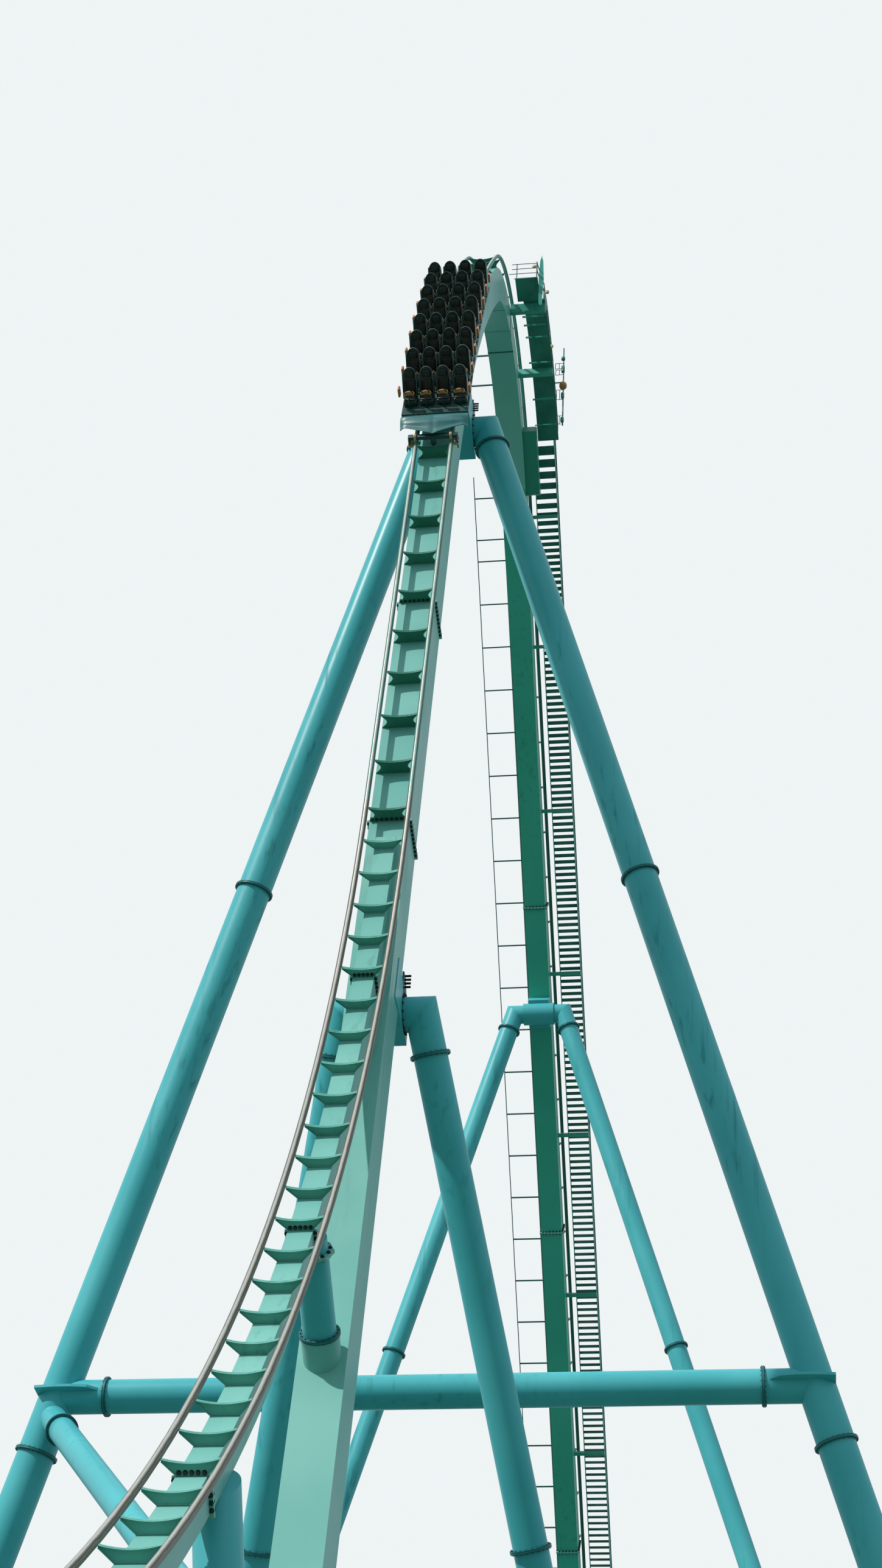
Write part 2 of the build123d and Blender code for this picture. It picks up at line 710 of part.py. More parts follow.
def build_pull_out_supports(column):
    """The strut off the main column, and the columns under both low ends of the track."""
    narrow_half = NARROW_WIDTH / 2
    keep_out = ribbon(0, DROP.begin, NARROW_FACE - GAUGE, NARROW_UNDER + SEAT, -GAUGE, GAUGE)
    head = (0, *station(FIRST_TIE - STRUT_TIE * NARROW_TIE_PITCH).offset(NARROW_UNDER))
    foot = (0, column_y(head[2] - STRUT_DROP), head[2] - STRUT_DROP)
    run = (Vector(*foot) - Vector(*head)).length
    ring = between(head, foot, 1 - STRUT_RING_REACH / run)
    joint = between(head, foot, 1 - (STRUT_RING_REACH - COLLAR_LENGTH / 2 - SEAT) / run)
    start = between(head, foot, -NARROW_UNDER / run)
    strut = rod(start, ring, STRUT_TUBE / 2)
    strut += collar(head, foot, 1 - STRUT_RING_REACH / run, STRUT_TUBE / 2)
    add("pull_out_strut", largest(strut - keep_out - column))
    add("strut_stub", largest(rod(joint, foot, STUB_TUBE / 2) - column))

    columns, plates = [], []
    for number, foot_x in zip(COLUMN_TIES, COLUMN_FOOT_X):
        along = max(FIRST_TIE - number * NARROW_TIE_PITCH, 2 * COLUMN_TUBE)
        head = station(along).offset(NARROW_FACE + narrow_half)
        foot = (foot_x, head[0], 0.0)
        pipe = rod((0, *head), foot, COLUMN_TUBE / 2)
        columns.append(largest(above_base(pipe - keep_out)))
        plates.append(base_plate(foot_x, foot[1], COLUMN_TUBE / 2))
    y, z = station(TRACK_END - ENTRY_RUN / 2).offset(LIFT_UNDER + SEAT)
    columns.append(rod((0, y, BASE_THICKNESS), (0, y, z), COLUMN_TUBE / 2))
    plates.append(base_plate(0, y, COLUMN_TUBE / 2))
    add("track_columns", *columns)
    return plates


def slope_point(distance, under):
    """A (y, z) point on the lift's straight line, extended below its foot."""
    return LIFT.start.offset(under, distance)


def stair_length(under):
    """The slope length from the lift's top to the ground at a depth under the rails."""
    return slope_point(0, under)[1] / sin(radians(LIFT_ANGLE))


def crest_along(angle):
    """Where the crest has a heading."""
    return CREST.begin + (EASE_END_ANGLE - angle) / (EASE_END_ANGLE + LIFT_ANGLE) * CREST.length


def stair_station(along):
    """A station beside the stair: down the crest's arc, then straight to the ground."""
    if along < LIFT.begin:
        return station(along)
    return Station(*slope_point(along - LIFT.begin, 0), -LIFT_ANGLE)


def tread_steps(start, end):
    """Where the treads lie, each with the step to the next: the first ones are deeper."""
    steps = []
    pitch = TREAD_FIRST_PITCH
    along = start + 0.75 * pitch
    while along < end:
        steps.append((along, pitch))
        along += pitch
        pitch = max(pitch * TREAD_EASE, TREAD_PITCH)
    return steps


def build_stair():
    """The stair on the right of the lift hill."""
    low = STRINGER_FACE + STRINGER_DEPTH
    top = crest_along(DECK_END_ANGLE) + SEAT
    outline = [
        slope_point(0, STRINGER_FACE),
        slope_point(stair_length(STRINGER_FACE), STRINGER_FACE),
        slope_point(stair_length(low), low),
        slope_point(0, low),
    ]
    stringers = []
    for inner in (STAIR_INNER, STAIR_OUTER - STRINGER_THICKNESS):
        outer = inner + STRINGER_THICKNESS
        curved = ribbon(top, LIFT.begin, STRINGER_FACE, low, inner, outer)
        stringers.append(curved + cut_block(outline, inner, outer))
    add("stair_stringers", *stringers)

    width = STAIR_OUTER - STAIR_INNER - 2 * STRINGER_THICKNESS - 2 * SEAT
    middle_x = (STAIR_OUTER + STAIR_INNER) / 2
    under = STRINGER_FACE + STRINGER_DEPTH / 2
    treads = []
    for along, pitch in tread_steps(top, LIFT.begin + stair_length(low) - 1.25 * TREAD_PITCH):
        here = stair_station(along)
        depth = pitch * cos(radians(here.heading)) * TREAD_LAP
        treads.append(Pos(middle_x, *here.offset(under)) * Box(width, depth, TREAD_THICKNESS))
    add("stair_treads", *treads)

    arms = []
    arm_top = low + SEAT
    arm = [(-BRACKET_LENGTH / 2, arm_top), (BRACKET_LENGTH / 2, arm_top + BRACKET_DEPTH)]
    pitch = LIFT_SPLICE_PITCH / BRACKETS_PER_SPLICE
    first = LIFT_SPLICE_START + BRACKET_OFFSET
    first -= pitch * int(first // pitch)
    for along in [BRACKET_TOP, *[first + i * pitch for i in range(int((LIFT.length - first) // pitch) + 1)]]:
        corners = [
            slope_point(along + arm[0][0], arm[0][1]),
            slope_point(along + arm[1][0], arm[0][1]),
            slope_point(along + arm[1][0], arm[1][1]),
            slope_point(along + arm[0][0], arm[1][1]),
        ]
        # The spine narrows over its tapered top, and the bracket starts at its side
        narrowing = min((along - BRACKET_LENGTH / 2) / TAPER_LENGTH, 1)
        inner = (WIDE_WIDTH + (LIFT_WIDTH - WIDE_WIDTH) * narrowing) / 2
        arms.append(cut_block(corners, inner, STAIR_OUTER))
    add("stair_brackets", *arms)


def post(x, here, under):
    """A guard rail's post, seated on a face that slopes like the track at a station."""
    y, z = here.offset(under)
    foot = z + SEAT + POST_TUBE / 2 * abs(tan(radians(here.heading)))
    return rod((x, y, foot), (x, y, z + HANDRAIL_RISE + RAIL_TUBE), POST_TUBE / 2)


def railing(x, under, start, end):
    """A guard rail on posts, as one piece, seated on a stringer's top face."""
    places = [start + POST_PITCH * i for i in range(int((end - start) // POST_PITCH) + 1)]
    pieces = [post(x, stair_station(place), under) for place in places]
    bends = [start + (LIFT.begin - start) * i / HANDRAIL_BENDS for i in range(HANDRAIL_BENDS + 1)]
    line = [stair_station(along).offset(under) for along in (*bends, places[-1])]
    for share in HANDRAIL_SHARES:
        path = [(x, y, z + HANDRAIL_RISE * share) for y, z in line]
        pieces.append(mitred_pipe(path, RAIL_TUBE / 2).solid())
    return pieces[0].fuse(*pieces[1:])


def build_guard_rails(spine):
    """The stair's handrail and the walkway frame on the other side."""
    start = crest_along(DECK_END_ANGLE) + 2 * POST_TUBE
    end = LIFT.begin + stair_length(STRINGER_FACE) - POST_PITCH
    x = STAIR_OUTER - STRINGER_THICKNESS / 2
    add("stair_handrail", railing(x, STRINGER_FACE, start, end))

    count = int((LIFT.length - RUNG_START) // RUNG_PITCH) + 1
    regular = [RUNG_START + i * RUNG_PITCH for i in range(count)]
    rungs = []
    size = RUNG_SIZE / 2
    for along in (*CREST_RUNGS, *UPPER_RUNGS, *regular):
        here = station(LIFT.begin + along)
        corners = [here.offset(WALKWAY_FACE + b, a) for a, b in
                   ((-size, -size), (size, -size), (size, size), (-size, size))]
        inner = -LIFT_WIDTH / 2 if along > 0 else -WIDE_WIDTH / 2
        # The tapered top of the spine is wider than the rest, and cuts the rungs short
        rungs.append(largest(cut_block(corners, WALKWAY_OUTER, inner) - spine))
    start = slope_point(ROD_START, WALKWAY_FACE)
    end = slope_point(regular[-1] + RUNG_PITCH / 2, WALKWAY_FACE)
    x = WALKWAY_OUTER - RAIL_TUBE / 2 - SEAT
    add("walkway_frame", *rungs, rod((x, *start), (x, *end), RAIL_TUBE / 2))


def build_crest_platform():
    """The deck beside the crest, its arms, railing, the motor housing and the mast."""
    start = crest_along(DECK_START_ANGLE)
    finish = crest_along(DECK_END_ANGLE)
    under = STRINGER_FACE
    deck = ribbon(start, finish, under, under + DECK_THICKNESS, DECK_INNER, DECK_OUTER)
    y, z = station(start).offset(under + DECK_THICKNESS / 2)
    landing = [
        (y - DECK_LANDING, z - DECK_THICKNESS / 2), (y + DECK_THICKNESS, z - DECK_THICKNESS / 2),
        (y + DECK_THICKNESS, z + DECK_THICKNESS / 2), (y - DECK_LANDING, z + DECK_THICKNESS / 2),
    ]
    add("crest_deck", deck + cut_block(landing, STAIR_INNER, STAIR_OUTER))

    arms = []
    top = under + DECK_THICKNESS + SEAT
    for angle in PLATFORM_ARM_ANGLES:
        along = crest_along(angle)
        reach = BRACKET_DEPTH / CREST_RADIUS
        arms.append(ribbon(along - reach * CREST_RADIUS / 2, along + reach * CREST_RADIUS / 2,
                           top, top + 2 * BRACKET_DEPTH, WIDE_WIDTH / 2, DECK_OUTER))
    add("crest_arms", *arms)

    front_y, front_z = station(start).offset(under)
    places = [(STAIR_OUTER - POST_TUBE, Station(front_y - DECK_LANDING + POST_TUBE, front_z + under, 0.0))]
    first = start + 2 * POST_TUBE
    run = finish - POST_TUBE - first
    for i in range(DECK_STATIONS):
        places.append((DECK_OUTER - POST_TUBE, station(first + run * i / (DECK_STATIONS - 1))))
    posts = [post(x, here, under) for x, here in places]
    feet = [(x, *here.offset(under)) for x, here in places]
    rails = [
        mitred_pipe([(x, y, z + HANDRAIL_RISE * share) for x, y, z in feet], RAIL_TUBE / 2)
        for share in HANDRAIL_SHARES
    ]
    add("crest_railing", posts[0].fuse(*posts[1:], *[rail.solid() for rail in rails]))

    housing = ribbon(crest_along(HOUSING_START_ANGLE), LIFT.begin + HOUSING_RUN,
                     LIFT_UNDER - HOUSING_DEPTH, LIFT_UNDER,
                     WIDE_WIDTH / 2 + SEAT, WIDE_WIDTH / 2 + SEAT + HOUSING_WIDTH)
    add("lift_motor_housing", housing)

    y, z = station(crest_along(MAST_ANGLE)).offset(under + DECK_THICKNESS / 2)
    x = DECK_OUTER + MAST_ARM
    top = z + MAST_RISE
    mast = rod((x, y, top - MAST_HEIGHT), (x, y, top), MAST_TUBE / 2)
    arm = rod((DECK_OUTER + SEAT, y, z), (x, y, z), MAST_TUBE / 2)
    add("instrument_mast", mast + arm)


def build_trough():
    """The chain trough on top of the lift spine, passing through the ties' middle."""
    half = TROUGH_WIDTH / 2
    start, end = LIFT.begin + TAPER_LENGTH, ENTRY.begin
    places = tie_places(start, TRACK_END, WIDE_TIE_PITCH)
    clear = TIE_THICKNESS / 2 + SEAT
    pieces = []
    for before, after in zip(places, places[1:]):
        a, b = before + clear, after - clear
        if b < end:
            pieces.append(ribbon(a, b, LIFT_FACE - SEAT - TROUGH_DEPTH, LIFT_FACE - SEAT, -half, half))
    add("chain_trough", *pieces)


def seat_solid():
    """One seat: a cushion block and a tall back with a rounded top."""
    side = [
        (-SEAT_LENGTH / 2, 0), (SEAT_LENGTH / 2, 0), (SEAT_LENGTH / 2 + SEAT_BACK_THICKNESS, SEAT_BACK_HEIGHT),
        (SEAT_LENGTH / 2, SEAT_BACK_HEIGHT), (SEAT_LENGTH / 2 - SEAT_BACK_THICKNESS, SEAT_BASE),
        (-SEAT_LENGTH / 2, SEAT_BASE),
    ]
    body = cut_block(side, -SEAT_WIDTH / 2, SEAT_WIDTH / 2)
    corners = body.edges().filter_by(
        lambda e: e.center().Z > SEAT_BACK_HEIGHT - SEAT and abs(e.center().X) > SEAT
    )
    return fillet(corners, SEAT_BACK_ROUND)


def bar_solid():
    """One lap bar: a stalk from the floor and a padded cross handle."""
    front = -SEAT_LENGTH / 2
    stalk = rod((0, front - BAR_STALK * 3, -BAR_STALK), (0, front + BAR_STALK, BAR_RISE), BAR_STALK)
    pad = Pos(0, front + BAR_PAD / 2, BAR_RISE) * Box(BAR_WIDTH, BAR_PAD, BAR_STALK * 3)
    return split(stalk + pad, bisect_by=Plane.XY, keep=Keep.TOP)


def build_train():
    """The train: car floors, axle beams, wheels, seats, lap bars and the nose."""
    floors, axles, wheels, seats, bars = [], [], [], [], []
    top = FLOOR_RISE + FLOOR_THICKNESS
    wheel_top = RAIL_RADIUS + SEAT + WHEEL_RADIUS
    seat, bar = seat_solid(), bar_solid()
    for car in range(CAR_COUNT):
        along = EASE.begin + TRAIN_FRONT + (car + 0.5) * CAR_PITCH
        frame = car_plane(along).location
        floor = Pos(0, 0, FLOOR_RISE + FLOOR_THICKNESS / 2) * Box(
            FLOOR_WIDTH, CAR_PITCH - CAR_GAP, FLOOR_THICKNESS
        )
        floors.append(frame * floor)
        height = FLOOR_RISE - SEAT - wheel_top + AXLE_SIZE / 2
        axle = Pos(0, 0, FLOOR_RISE - SEAT - height / 2) * Box(
            GAUGE - WHEEL_WIDTH - 2 * SEAT, AXLE_SIZE, height
        )
        axles.append(frame * axle)
        for side in (-1, 1):
            wheel = Solid.make_cylinder(
                WHEEL_RADIUS, WHEEL_WIDTH,
                Plane(origin=(side * GAUGE / 2 - WHEEL_WIDTH / 2, 0, wheel_top), z_dir=(1, 0, 0)),
            )
            wheels.append(frame * wheel)
        for number in range(SEAT_COUNT):
            x = (number - (SEAT_COUNT - 1) / 2) * SEAT_PITCH
            seats.append(frame * (Pos(x, SEAT_AHEAD, top + SEAT) * seat))
            bars.append(frame * (Pos(x, SEAT_AHEAD - BAR_BEHIND, top + SEAT) * bar))
    add("train_floors", *floors)
    add("train_axle_beams", *axles)
    add("train_wheels", *wheels)
    add("train_seats", *seats)
    add("train_lap_bars", *bars)

    along = EASE.begin + TRAIN_FRONT
    frame = car_plane(along).location
    back = CAR_GAP / 2 - SEAT
    side = [
        (back, FLOOR_RISE - NOSE_DROP), (back, FLOOR_RISE + NOSE_BACK_HEIGHT),
        (-NOSE_FLAT, FLOOR_RISE + NOSE_HEIGHT), (-NOSE_LENGTH, FLOOR_RISE + NOSE_TIP_RISE),
        (NOSE_UNDERCUT - NOSE_LENGTH, FLOOR_RISE - NOSE_TIP_DROP),
    ]
    nose = cut_block(side, -NOSE_WIDTH / 2, NOSE_WIDTH / 2)
    add("train_nose", frame * nose)


def build_bases(legs, plates):
    """Round base plates under the legs and a square one under the main column."""
    add("leg_base_plates", *[leg.base() for leg in legs], *plates)
    length = WIDE_DEPTH / sin(radians(DROP_ANGLE)) + 2 * BASE_MARGIN
    plate = Pos(0, 0, BASE_THICKNESS / 2) * Box(WIDE_WIDTH + 2 * BASE_MARGIN, length, BASE_THICKNESS)
    add("column_base_plate", plate)


def main():
    """Build every node and write it."""
    column, lift_spine = build_spines()
    rings = build_track(column)
    legs = build_front_support(column)
    legs += build_rear_support(column)
    legs += build_lift_frames()
    plates = build_pull_out_supports(column)
    build_bases(legs, plates)
    build_stair()
    build_guard_rails(lift_spine)
    build_crest_platform()
    build_trough()
    build_train()
    add("splice_flanges", *rings)
    os.makedirs("parts", exist_ok=True)
    for name, solids in NODES.items():
        shape = solids[0] if len(solids) == 1 else Compound(children=solids)
        export_step(shape, f"parts/{name}.step")
    print(len(NODES), "nodes", sum(len(solids) for solids in NODES.values()), "solids")
    print("length of track", round(TRACK_END), "crest", round(station(crest_along(0)).y))


if __name__ == "__main__":
    main()
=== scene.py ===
"""Steel roller coaster crest at one tenth of its real size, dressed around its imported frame.

Sizes in the classes are millimetres of the model, and the bench turns them into metres.
"""
import json
import logging
import math
from dataclasses import dataclass
from enum import Enum
from typing import Callable, Iterable, Sequence

import bpy
from mathutils import Matrix, Vector


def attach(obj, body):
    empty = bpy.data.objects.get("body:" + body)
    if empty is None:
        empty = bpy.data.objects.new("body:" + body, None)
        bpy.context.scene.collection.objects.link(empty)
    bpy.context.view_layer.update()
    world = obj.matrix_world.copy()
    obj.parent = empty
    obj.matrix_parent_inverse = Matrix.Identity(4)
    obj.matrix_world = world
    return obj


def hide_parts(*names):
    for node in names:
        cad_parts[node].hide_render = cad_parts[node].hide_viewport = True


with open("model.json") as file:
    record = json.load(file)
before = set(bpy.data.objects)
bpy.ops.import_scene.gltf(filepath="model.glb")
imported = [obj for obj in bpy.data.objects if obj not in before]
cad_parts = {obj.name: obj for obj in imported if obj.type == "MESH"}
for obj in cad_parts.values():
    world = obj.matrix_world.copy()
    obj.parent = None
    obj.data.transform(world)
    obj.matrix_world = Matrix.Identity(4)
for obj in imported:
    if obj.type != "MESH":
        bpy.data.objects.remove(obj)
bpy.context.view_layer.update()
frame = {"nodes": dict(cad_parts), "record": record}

MM = 0.001
LOG = logging.getLogger("coaster")
# A point and a place are in millimetres, and an edge is a bevel's width with its number of steps
Point = tuple[float, float]
Place = tuple[float, float, float]
Edge = tuple[float, int]
Piece = bpy.types.Object
Material = bpy.types.Material
Socket = bpy.types.NodeSocket
Test = Callable[[bpy.types.MeshPolygon], bool]
ACROSS, AHEAD, UP = (1, 0, 0), (0, 1, 0), (0, 0, 1)
SIDES = (-1, 1)
LEVEL = 0.9


class Slot(Enum):
    """Material slots of the record that the pieces take their finish from."""
    TRACK = "track_paint"
    SUPPORT = "support_paint"
    TUBE = "galvanised_tube"
    GRATING = "grating"
    STAIR = "stair_paint"
    HOUSING = "housing_paint"
    TROUGH = "trough_steel"
    BASE = "base_steel"
    SEAT = "seat_shell"
    BAR = "lap_bar"
    NOSE = "nose_shell"
    WHEEL = "wheel_tread"
    CAR = "car_frame"


class Shading(Enum):
    """Below which angle, in degrees, faces that meet shade as one."""
    PLATE = 30.0
    FORMED = 40.0
    PADDED = 50.0
    BAR = 60.0


# The spines and the track's profile, the same numbers as the part's source


@dataclass(frozen=True)
class Spine:
    """A box spine: its size, its face under the rail centres, its ties' pitch and its splices' bolts."""
    width: float
    face: float
    depth: float
    tie_pitch: float
    bolt_step: float
    foot_bolts: int = 0

    @property
    def underside(self) -> float:
        """How far its lower face lies under the rail centres."""
        return self.face + self.depth


NARROW = Spine(55.0, 30.0, 66.0, 139.0, 13.0, 5)
WIDE = Spine(111.0, 47.0, 136.0, 209.0, 15.0, 8)
LIFT = Spine(94.0, 31.0, 136.0, 209.0, 15.0)


@dataclass(frozen=True)
class Station:
    """A place on the track: its coordinates and its heading in degrees above +Y."""
    y: float
    z: float
    heading: float

    def offset(self, under: float) -> Point:
        """The (y, z) point this far under the rail centres."""
        a = math.radians(self.heading)
        return self.y + under * math.sin(a), self.z - under * math.cos(a)


@dataclass(frozen=True)
class Segment:
    """A straight or an arc of the track; turn is in degrees, positive when it steepens."""
    start: Station
    begin: float
    length: float
    turn: float

    def at(self, along: float) -> Station:
        """Finds a place on the segment.

        Args:
            along: The distance from the start of the whole track.

        Returns:
            The station there.
        """
        d, a = along - self.begin, math.radians(self.start.heading)
        if self.turn == 0:
            return Station(self.start.y + d * math.cos(a), self.start.z + d * math.sin(a), self.start.heading)
        radius = self.length / math.radians(self.turn)
        b = a + d / radius
        y = self.start.y + radius * (math.sin(b) - math.sin(a))
        z = self.start.z + radius * (math.cos(a) - math.cos(b))
        return Station(y, z, self.start.heading + d / self.length * self.turn)


@dataclass
class Track:
    """The whole profile, from the valley over the crest and down the lift hill."""
    gauge: float = 120.0
    rail_radius: float = 7.8
    seat: float = 0.3
    valley_height: float = 542.0
    pull_out_radius: float = 4930.0
    drop_angle: float = 80.0
    ease_radius: float = 5770.0
    ease_end_angle: float = 57.0
    crest_radius: float = 934.0
    crest_height: float = 8955.0
    lift_angle: float = 45.0
    entry_radius: float = 1560.0
    entry_height: float = 335.0
    entry_run: float = 320.0
    wide_centre: float = WIDE.face + WIDE.depth / 2
    tie_anchor: float = 39.0

    def __post_init__(self) -> None:
        """Lays the segments out, end to end."""
        drop, ease, lift = (math.radians(a) for a in (self.drop_angle, self.ease_end_angle, self.lift_angle))
        top = self.valley_height + self.pull_out_radius * (1 - math.cos(drop))
        rise = self.ease_radius * (math.cos(ease) - math.cos(drop))
        climb = self.crest_height - self.crest_radius * (1 - math.cos(ease)) - rise - top
        straight = climb / math.sin(drop)
        fall = self.crest_height - self.crest_radius * (1 - math.cos(lift)) - self.entry_height
        slope = (fall - self.entry_radius * (1 - math.cos(lift))) / math.sin(lift)
        line_y = (top - self.wide_centre * math.cos(drop)) / math.tan(drop)
        line_y -= self.wide_centre * math.sin(drop)
        here = Station(line_y - self.pull_out_radius * math.sin(drop), self.valley_height, 0.0)
        plan = [
            (self.pull_out_radius * drop, self.drop_angle), (straight, 0.0),
            (self.ease_radius * (drop - ease), self.ease_end_angle - self.drop_angle),
            (self.crest_radius * (ease + lift), -self.ease_end_angle - self.lift_angle),
            (slope, 0.0), (self.entry_radius * lift, self.lift_angle), (self.entry_run, 0.0),
        ]
        self.segments: list[Segment] = []
        along = 0.0
        for length, turn in plan:
            self.segments.append(Segment(here, along, length, turn))
            along += length
            here = self.segments[-1].at(along)
        self.end = along
        self.drop, self.ease, self.crest, self.lift, self.entry = (s.begin for s in self.segments[1:6])
        self.first_tie = self.drop - self.tie_anchor

    def at(self, along: float) -> Station:
        """Finds a place on the track.

        Args:
            along: The distance from the start of the whole track.

        Returns:
            The station there.
        """
        for segment in self.segments:
            if along <= segment.begin + segment.length:
                return segment.at(along)
        return self.segments[-1].at(along)

    def across(self, along: float, under: float = 0.0) -> Matrix:
        """A frame across the track.

        Args:
            along: The distance from the start of the whole track.
            under: How far the frame lies under the rail centres.

        Returns:
            The frame in metres: X is the world's, Y is up off the track.
        """
        here = self.at(along)
        a = math.radians(here.heading)
        y, z = here.offset(under)
        return frame_of((0.0, y, z), ACROSS, (0, -math.sin(a), math.cos(a)))

    def car(self, along: float) -> Matrix:
        """A frame for what rides on the track.

        Args:
            along: The distance from the start of the whole track.

        Returns:
            The frame in metres: Y goes uphill and Z is up off the track.
        """
        here = self.at(along)
        a = math.radians(here.heading)
        return frame_of((0.0, here.y, here.z), ACROSS, (0, math.cos(a), math.sin(a)))

    def column_y(self, height: float) -> float:
        """The Y of the main column's centre line at a height."""
        return height / math.tan(math.radians(self.drop_angle))


def frame_of(origin: Place, x_dir: Place, y_dir: Place) -> Matrix:
    """A placing matrix in metres.

    Args:
        origin: Where it stands, in millimetres.
        x_dir: The world direction of its X axis.
        y_dir: The world direction of its Y axis.

    Returns:
        The matrix, with its origin in metres.
    """
    x, y = Vector(x_dir).normalized(), Vector(y_dir).normalized()
    matrix = Matrix((x, y, x.cross(y))).transposed().to_4x4()
    matrix.translation = Vector(origin) * MM
    return matrix


def shift(x: float, y: float, z: float = 0.0) -> Matrix:
    """A move in millimetres, as a matrix in metres."""
    return Matrix.Translation((x * MM, y * MM, z * MM))


def circle(radius: float, count: int, first: float = 0.0) -> list[Point]:
    """Points round a circle, the first turned by a share of their pitch from +X."""
    turns = (2 * math.pi * (i + first) / count for i in range(count))
    return [(radius * math.cos(turn), radius * math.sin(turn)) for turn in turns]


TRACK = Track()


# The bench: the operators that shape the pieces


def clear_selection() -> None:
    """Leaves edit mode and deselects every object."""
    if bpy.context.object and bpy.context.object.mode != "OBJECT":
        bpy.ops.object.mode_set(mode="OBJECT")
    bpy.ops.object.select_all(action="DESELECT")


def hold(piece: Piece) -> None:
    """Makes one piece the only selected and active object.

    Args:
        piece: The piece.
    """
    clear_selection()
    piece.select_set(True)
    bpy.context.view_layer.objects.active = piece


def pick(piece: Piece, test: Test) -> None:
    """Goes into edit mode with the faces that pass a test selected.

    Args:
        piece: The piece.
        test: Says of a face whether it is wanted.
    """
    hold(piece)
    bpy.ops.object.mode_set(mode="EDIT")
    bpy.ops.mesh.select_mode(type="FACE")
    bpy.ops.mesh.select_all(action="DESELECT")
    bpy.ops.object.mode_set(mode="OBJECT")
    for face in piece.data.polygons:
        face.select = test(face)
    bpy.ops.object.mode_set(mode="EDIT")


def top_face(face: bpy.types.MeshPolygon) -> bool:
    """Whether a face looks along +Z."""
    return face.normal.z > LEVEL


def end_face(face: bpy.types.MeshPolygon) -> bool:
    """Whether a face looks along Z, either way."""
    return abs(face.normal.z) > LEVEL


def plate(outline: Sequence[Point], thickness: float, centred: bool = True) -> Piece:
    """A flat plate cut to an outline.

    Args:
        outline: Its corners in order, in millimetres, in its own X and Y.
        thickness: How thick it is, along its own Z.
        centred: Whether it lies half on each side of its plane.

    Returns:
        The plate, at the origin.
    """
    clear_selection()
    bpy.ops.mesh.primitive_circle_add(vertices=len(outline), radius=1, fill_type="NGON")
    piece = bpy.context.object
    low = -thickness / 2 if centred else 0.0
    for vertex, (x, y) in zip(piece.data.vertices, outline):
        vertex.co = (x * MM, y * MM, low * MM)
    bpy.ops.object.mode_set(mode="EDIT")
    bpy.ops.mesh.select_all(action="SELECT")
    bpy.ops.mesh.extrude_region_move(TRANSFORM_OT_translate={"value": (0, 0, thickness * MM)})
    bpy.ops.mesh.select_all(action="SELECT")
    bpy.ops.mesh.normals_make_consistent(inside=False)
    bpy.ops.object.mode_set(mode="OBJECT")
    return piece


def box(low: Place, high: Place) -> Piece:
    """A block between two corners, ready to be shaped further.

    Args:
        low: Its lowest corner.
        high: Its highest corner.

    Returns:
        The block.
    """
    (x, y, z), (a, b, c) = low, high
    piece = plate([(x, y), (a, y), (a, b), (x, b)], c - z, centred=False)
    return moved(piece, shift(0, 0, z))


def drum(radius: float, length: float, sides: int = 24) -> Piece:
    """A drum on its own Z axis, centred, ready to be shaped further.

    Args:
        radius: Its radius.
        length: How long it is.
        sides: How many flats it has.

    Returns:
        The drum.
    """
    clear_selection()
    bpy.ops.mesh.primitive_cylinder_add(vertices=sides, radius=radius * MM, depth=length * MM)
    return bpy.context.object


def soften(piece: Piece, width: float, segments: int = 1, angle: float = 40.0) -> Piece:
    """Rounds a piece's sharp edges with a bevel, and applies it.

    Args:
        piece: The piece.
        width: The bevel's width.
        segments: How many steps round the edge it takes.
        angle: Edges sharper than this, in degrees, are rounded.

    Returns:
        The same piece.
    """
    hold(piece)
    bevel = piece.modifiers.new("edge", "BEVEL")
    bevel.width, bevel.segments = width * MM, segments
    bevel.limit_method, bevel.angle_limit = "ANGLE", math.radians(angle)
    bpy.ops.object.modifier_apply(modifier=bevel.name)
    return piece


def smooth(piece: Piece, shading: Shading) -> Piece:
    """Shades a piece smooth.

    Args:
        piece: The piece.
        shading: How far round its edges the shading runs.

    Returns:
        The same piece.
    """
    hold(piece)
    bpy.ops.object.shade_smooth_by_angle(angle=math.radians(shading.value))
    return piece


def dish(piece: Piece, test: Test, rim: float, depth: float) -> None:
    """Insets faces and pushes them in.

    Args:
        piece: The piece.
        test: Says of a face whether it is wanted.
        rim: How wide the rim round them is.
        depth: How deep they go.
    """
    pick(piece, test)
    bpy.ops.mesh.inset(thickness=rim * MM, use_even_offset=True)
    bpy.ops.transform.shrink_fatten(value=-depth * MM)
    bpy.ops.object.mode_set(mode="OBJECT")


def rod(points: Sequence[Place], radius: float, sides: int = 8) -> Piece:
    """A round bar along a path.

    Args:
        points: The corners of its path, in millimetres of the world.
        radius: Its radius.
        sides: How many flats its section has.

    Returns:
        The bar as a closed mesh.
    """
    clear_selection()
    curve = bpy.data.curves.new("rod", "CURVE")
    curve.dimensions = "3D"
    curve.bevel_depth = radius * MM
    curve.bevel_resolution = max(sides // 4 - 1, 0)
    curve.use_fill_caps = True
    spline = curve.splines.new("POLY")
    spline.points.add(len(points) - 1)
    for knot, place in zip(spline.points, points):
        knot.co = (*(v * MM for v in place), 1.0)
    piece = bpy.data.objects.new("rod", curve)
    bpy.context.collection.objects.link(piece)
    hold(piece)
    bpy.ops.object.convert(target="MESH")
    return smooth(bpy.context.object, Shading.BAR)


def moved(piece: Piece, matrix: Matrix) -> Piece:
    """Puts a piece in its place, in its mesh."""
    piece.data.transform(matrix)
    return piece


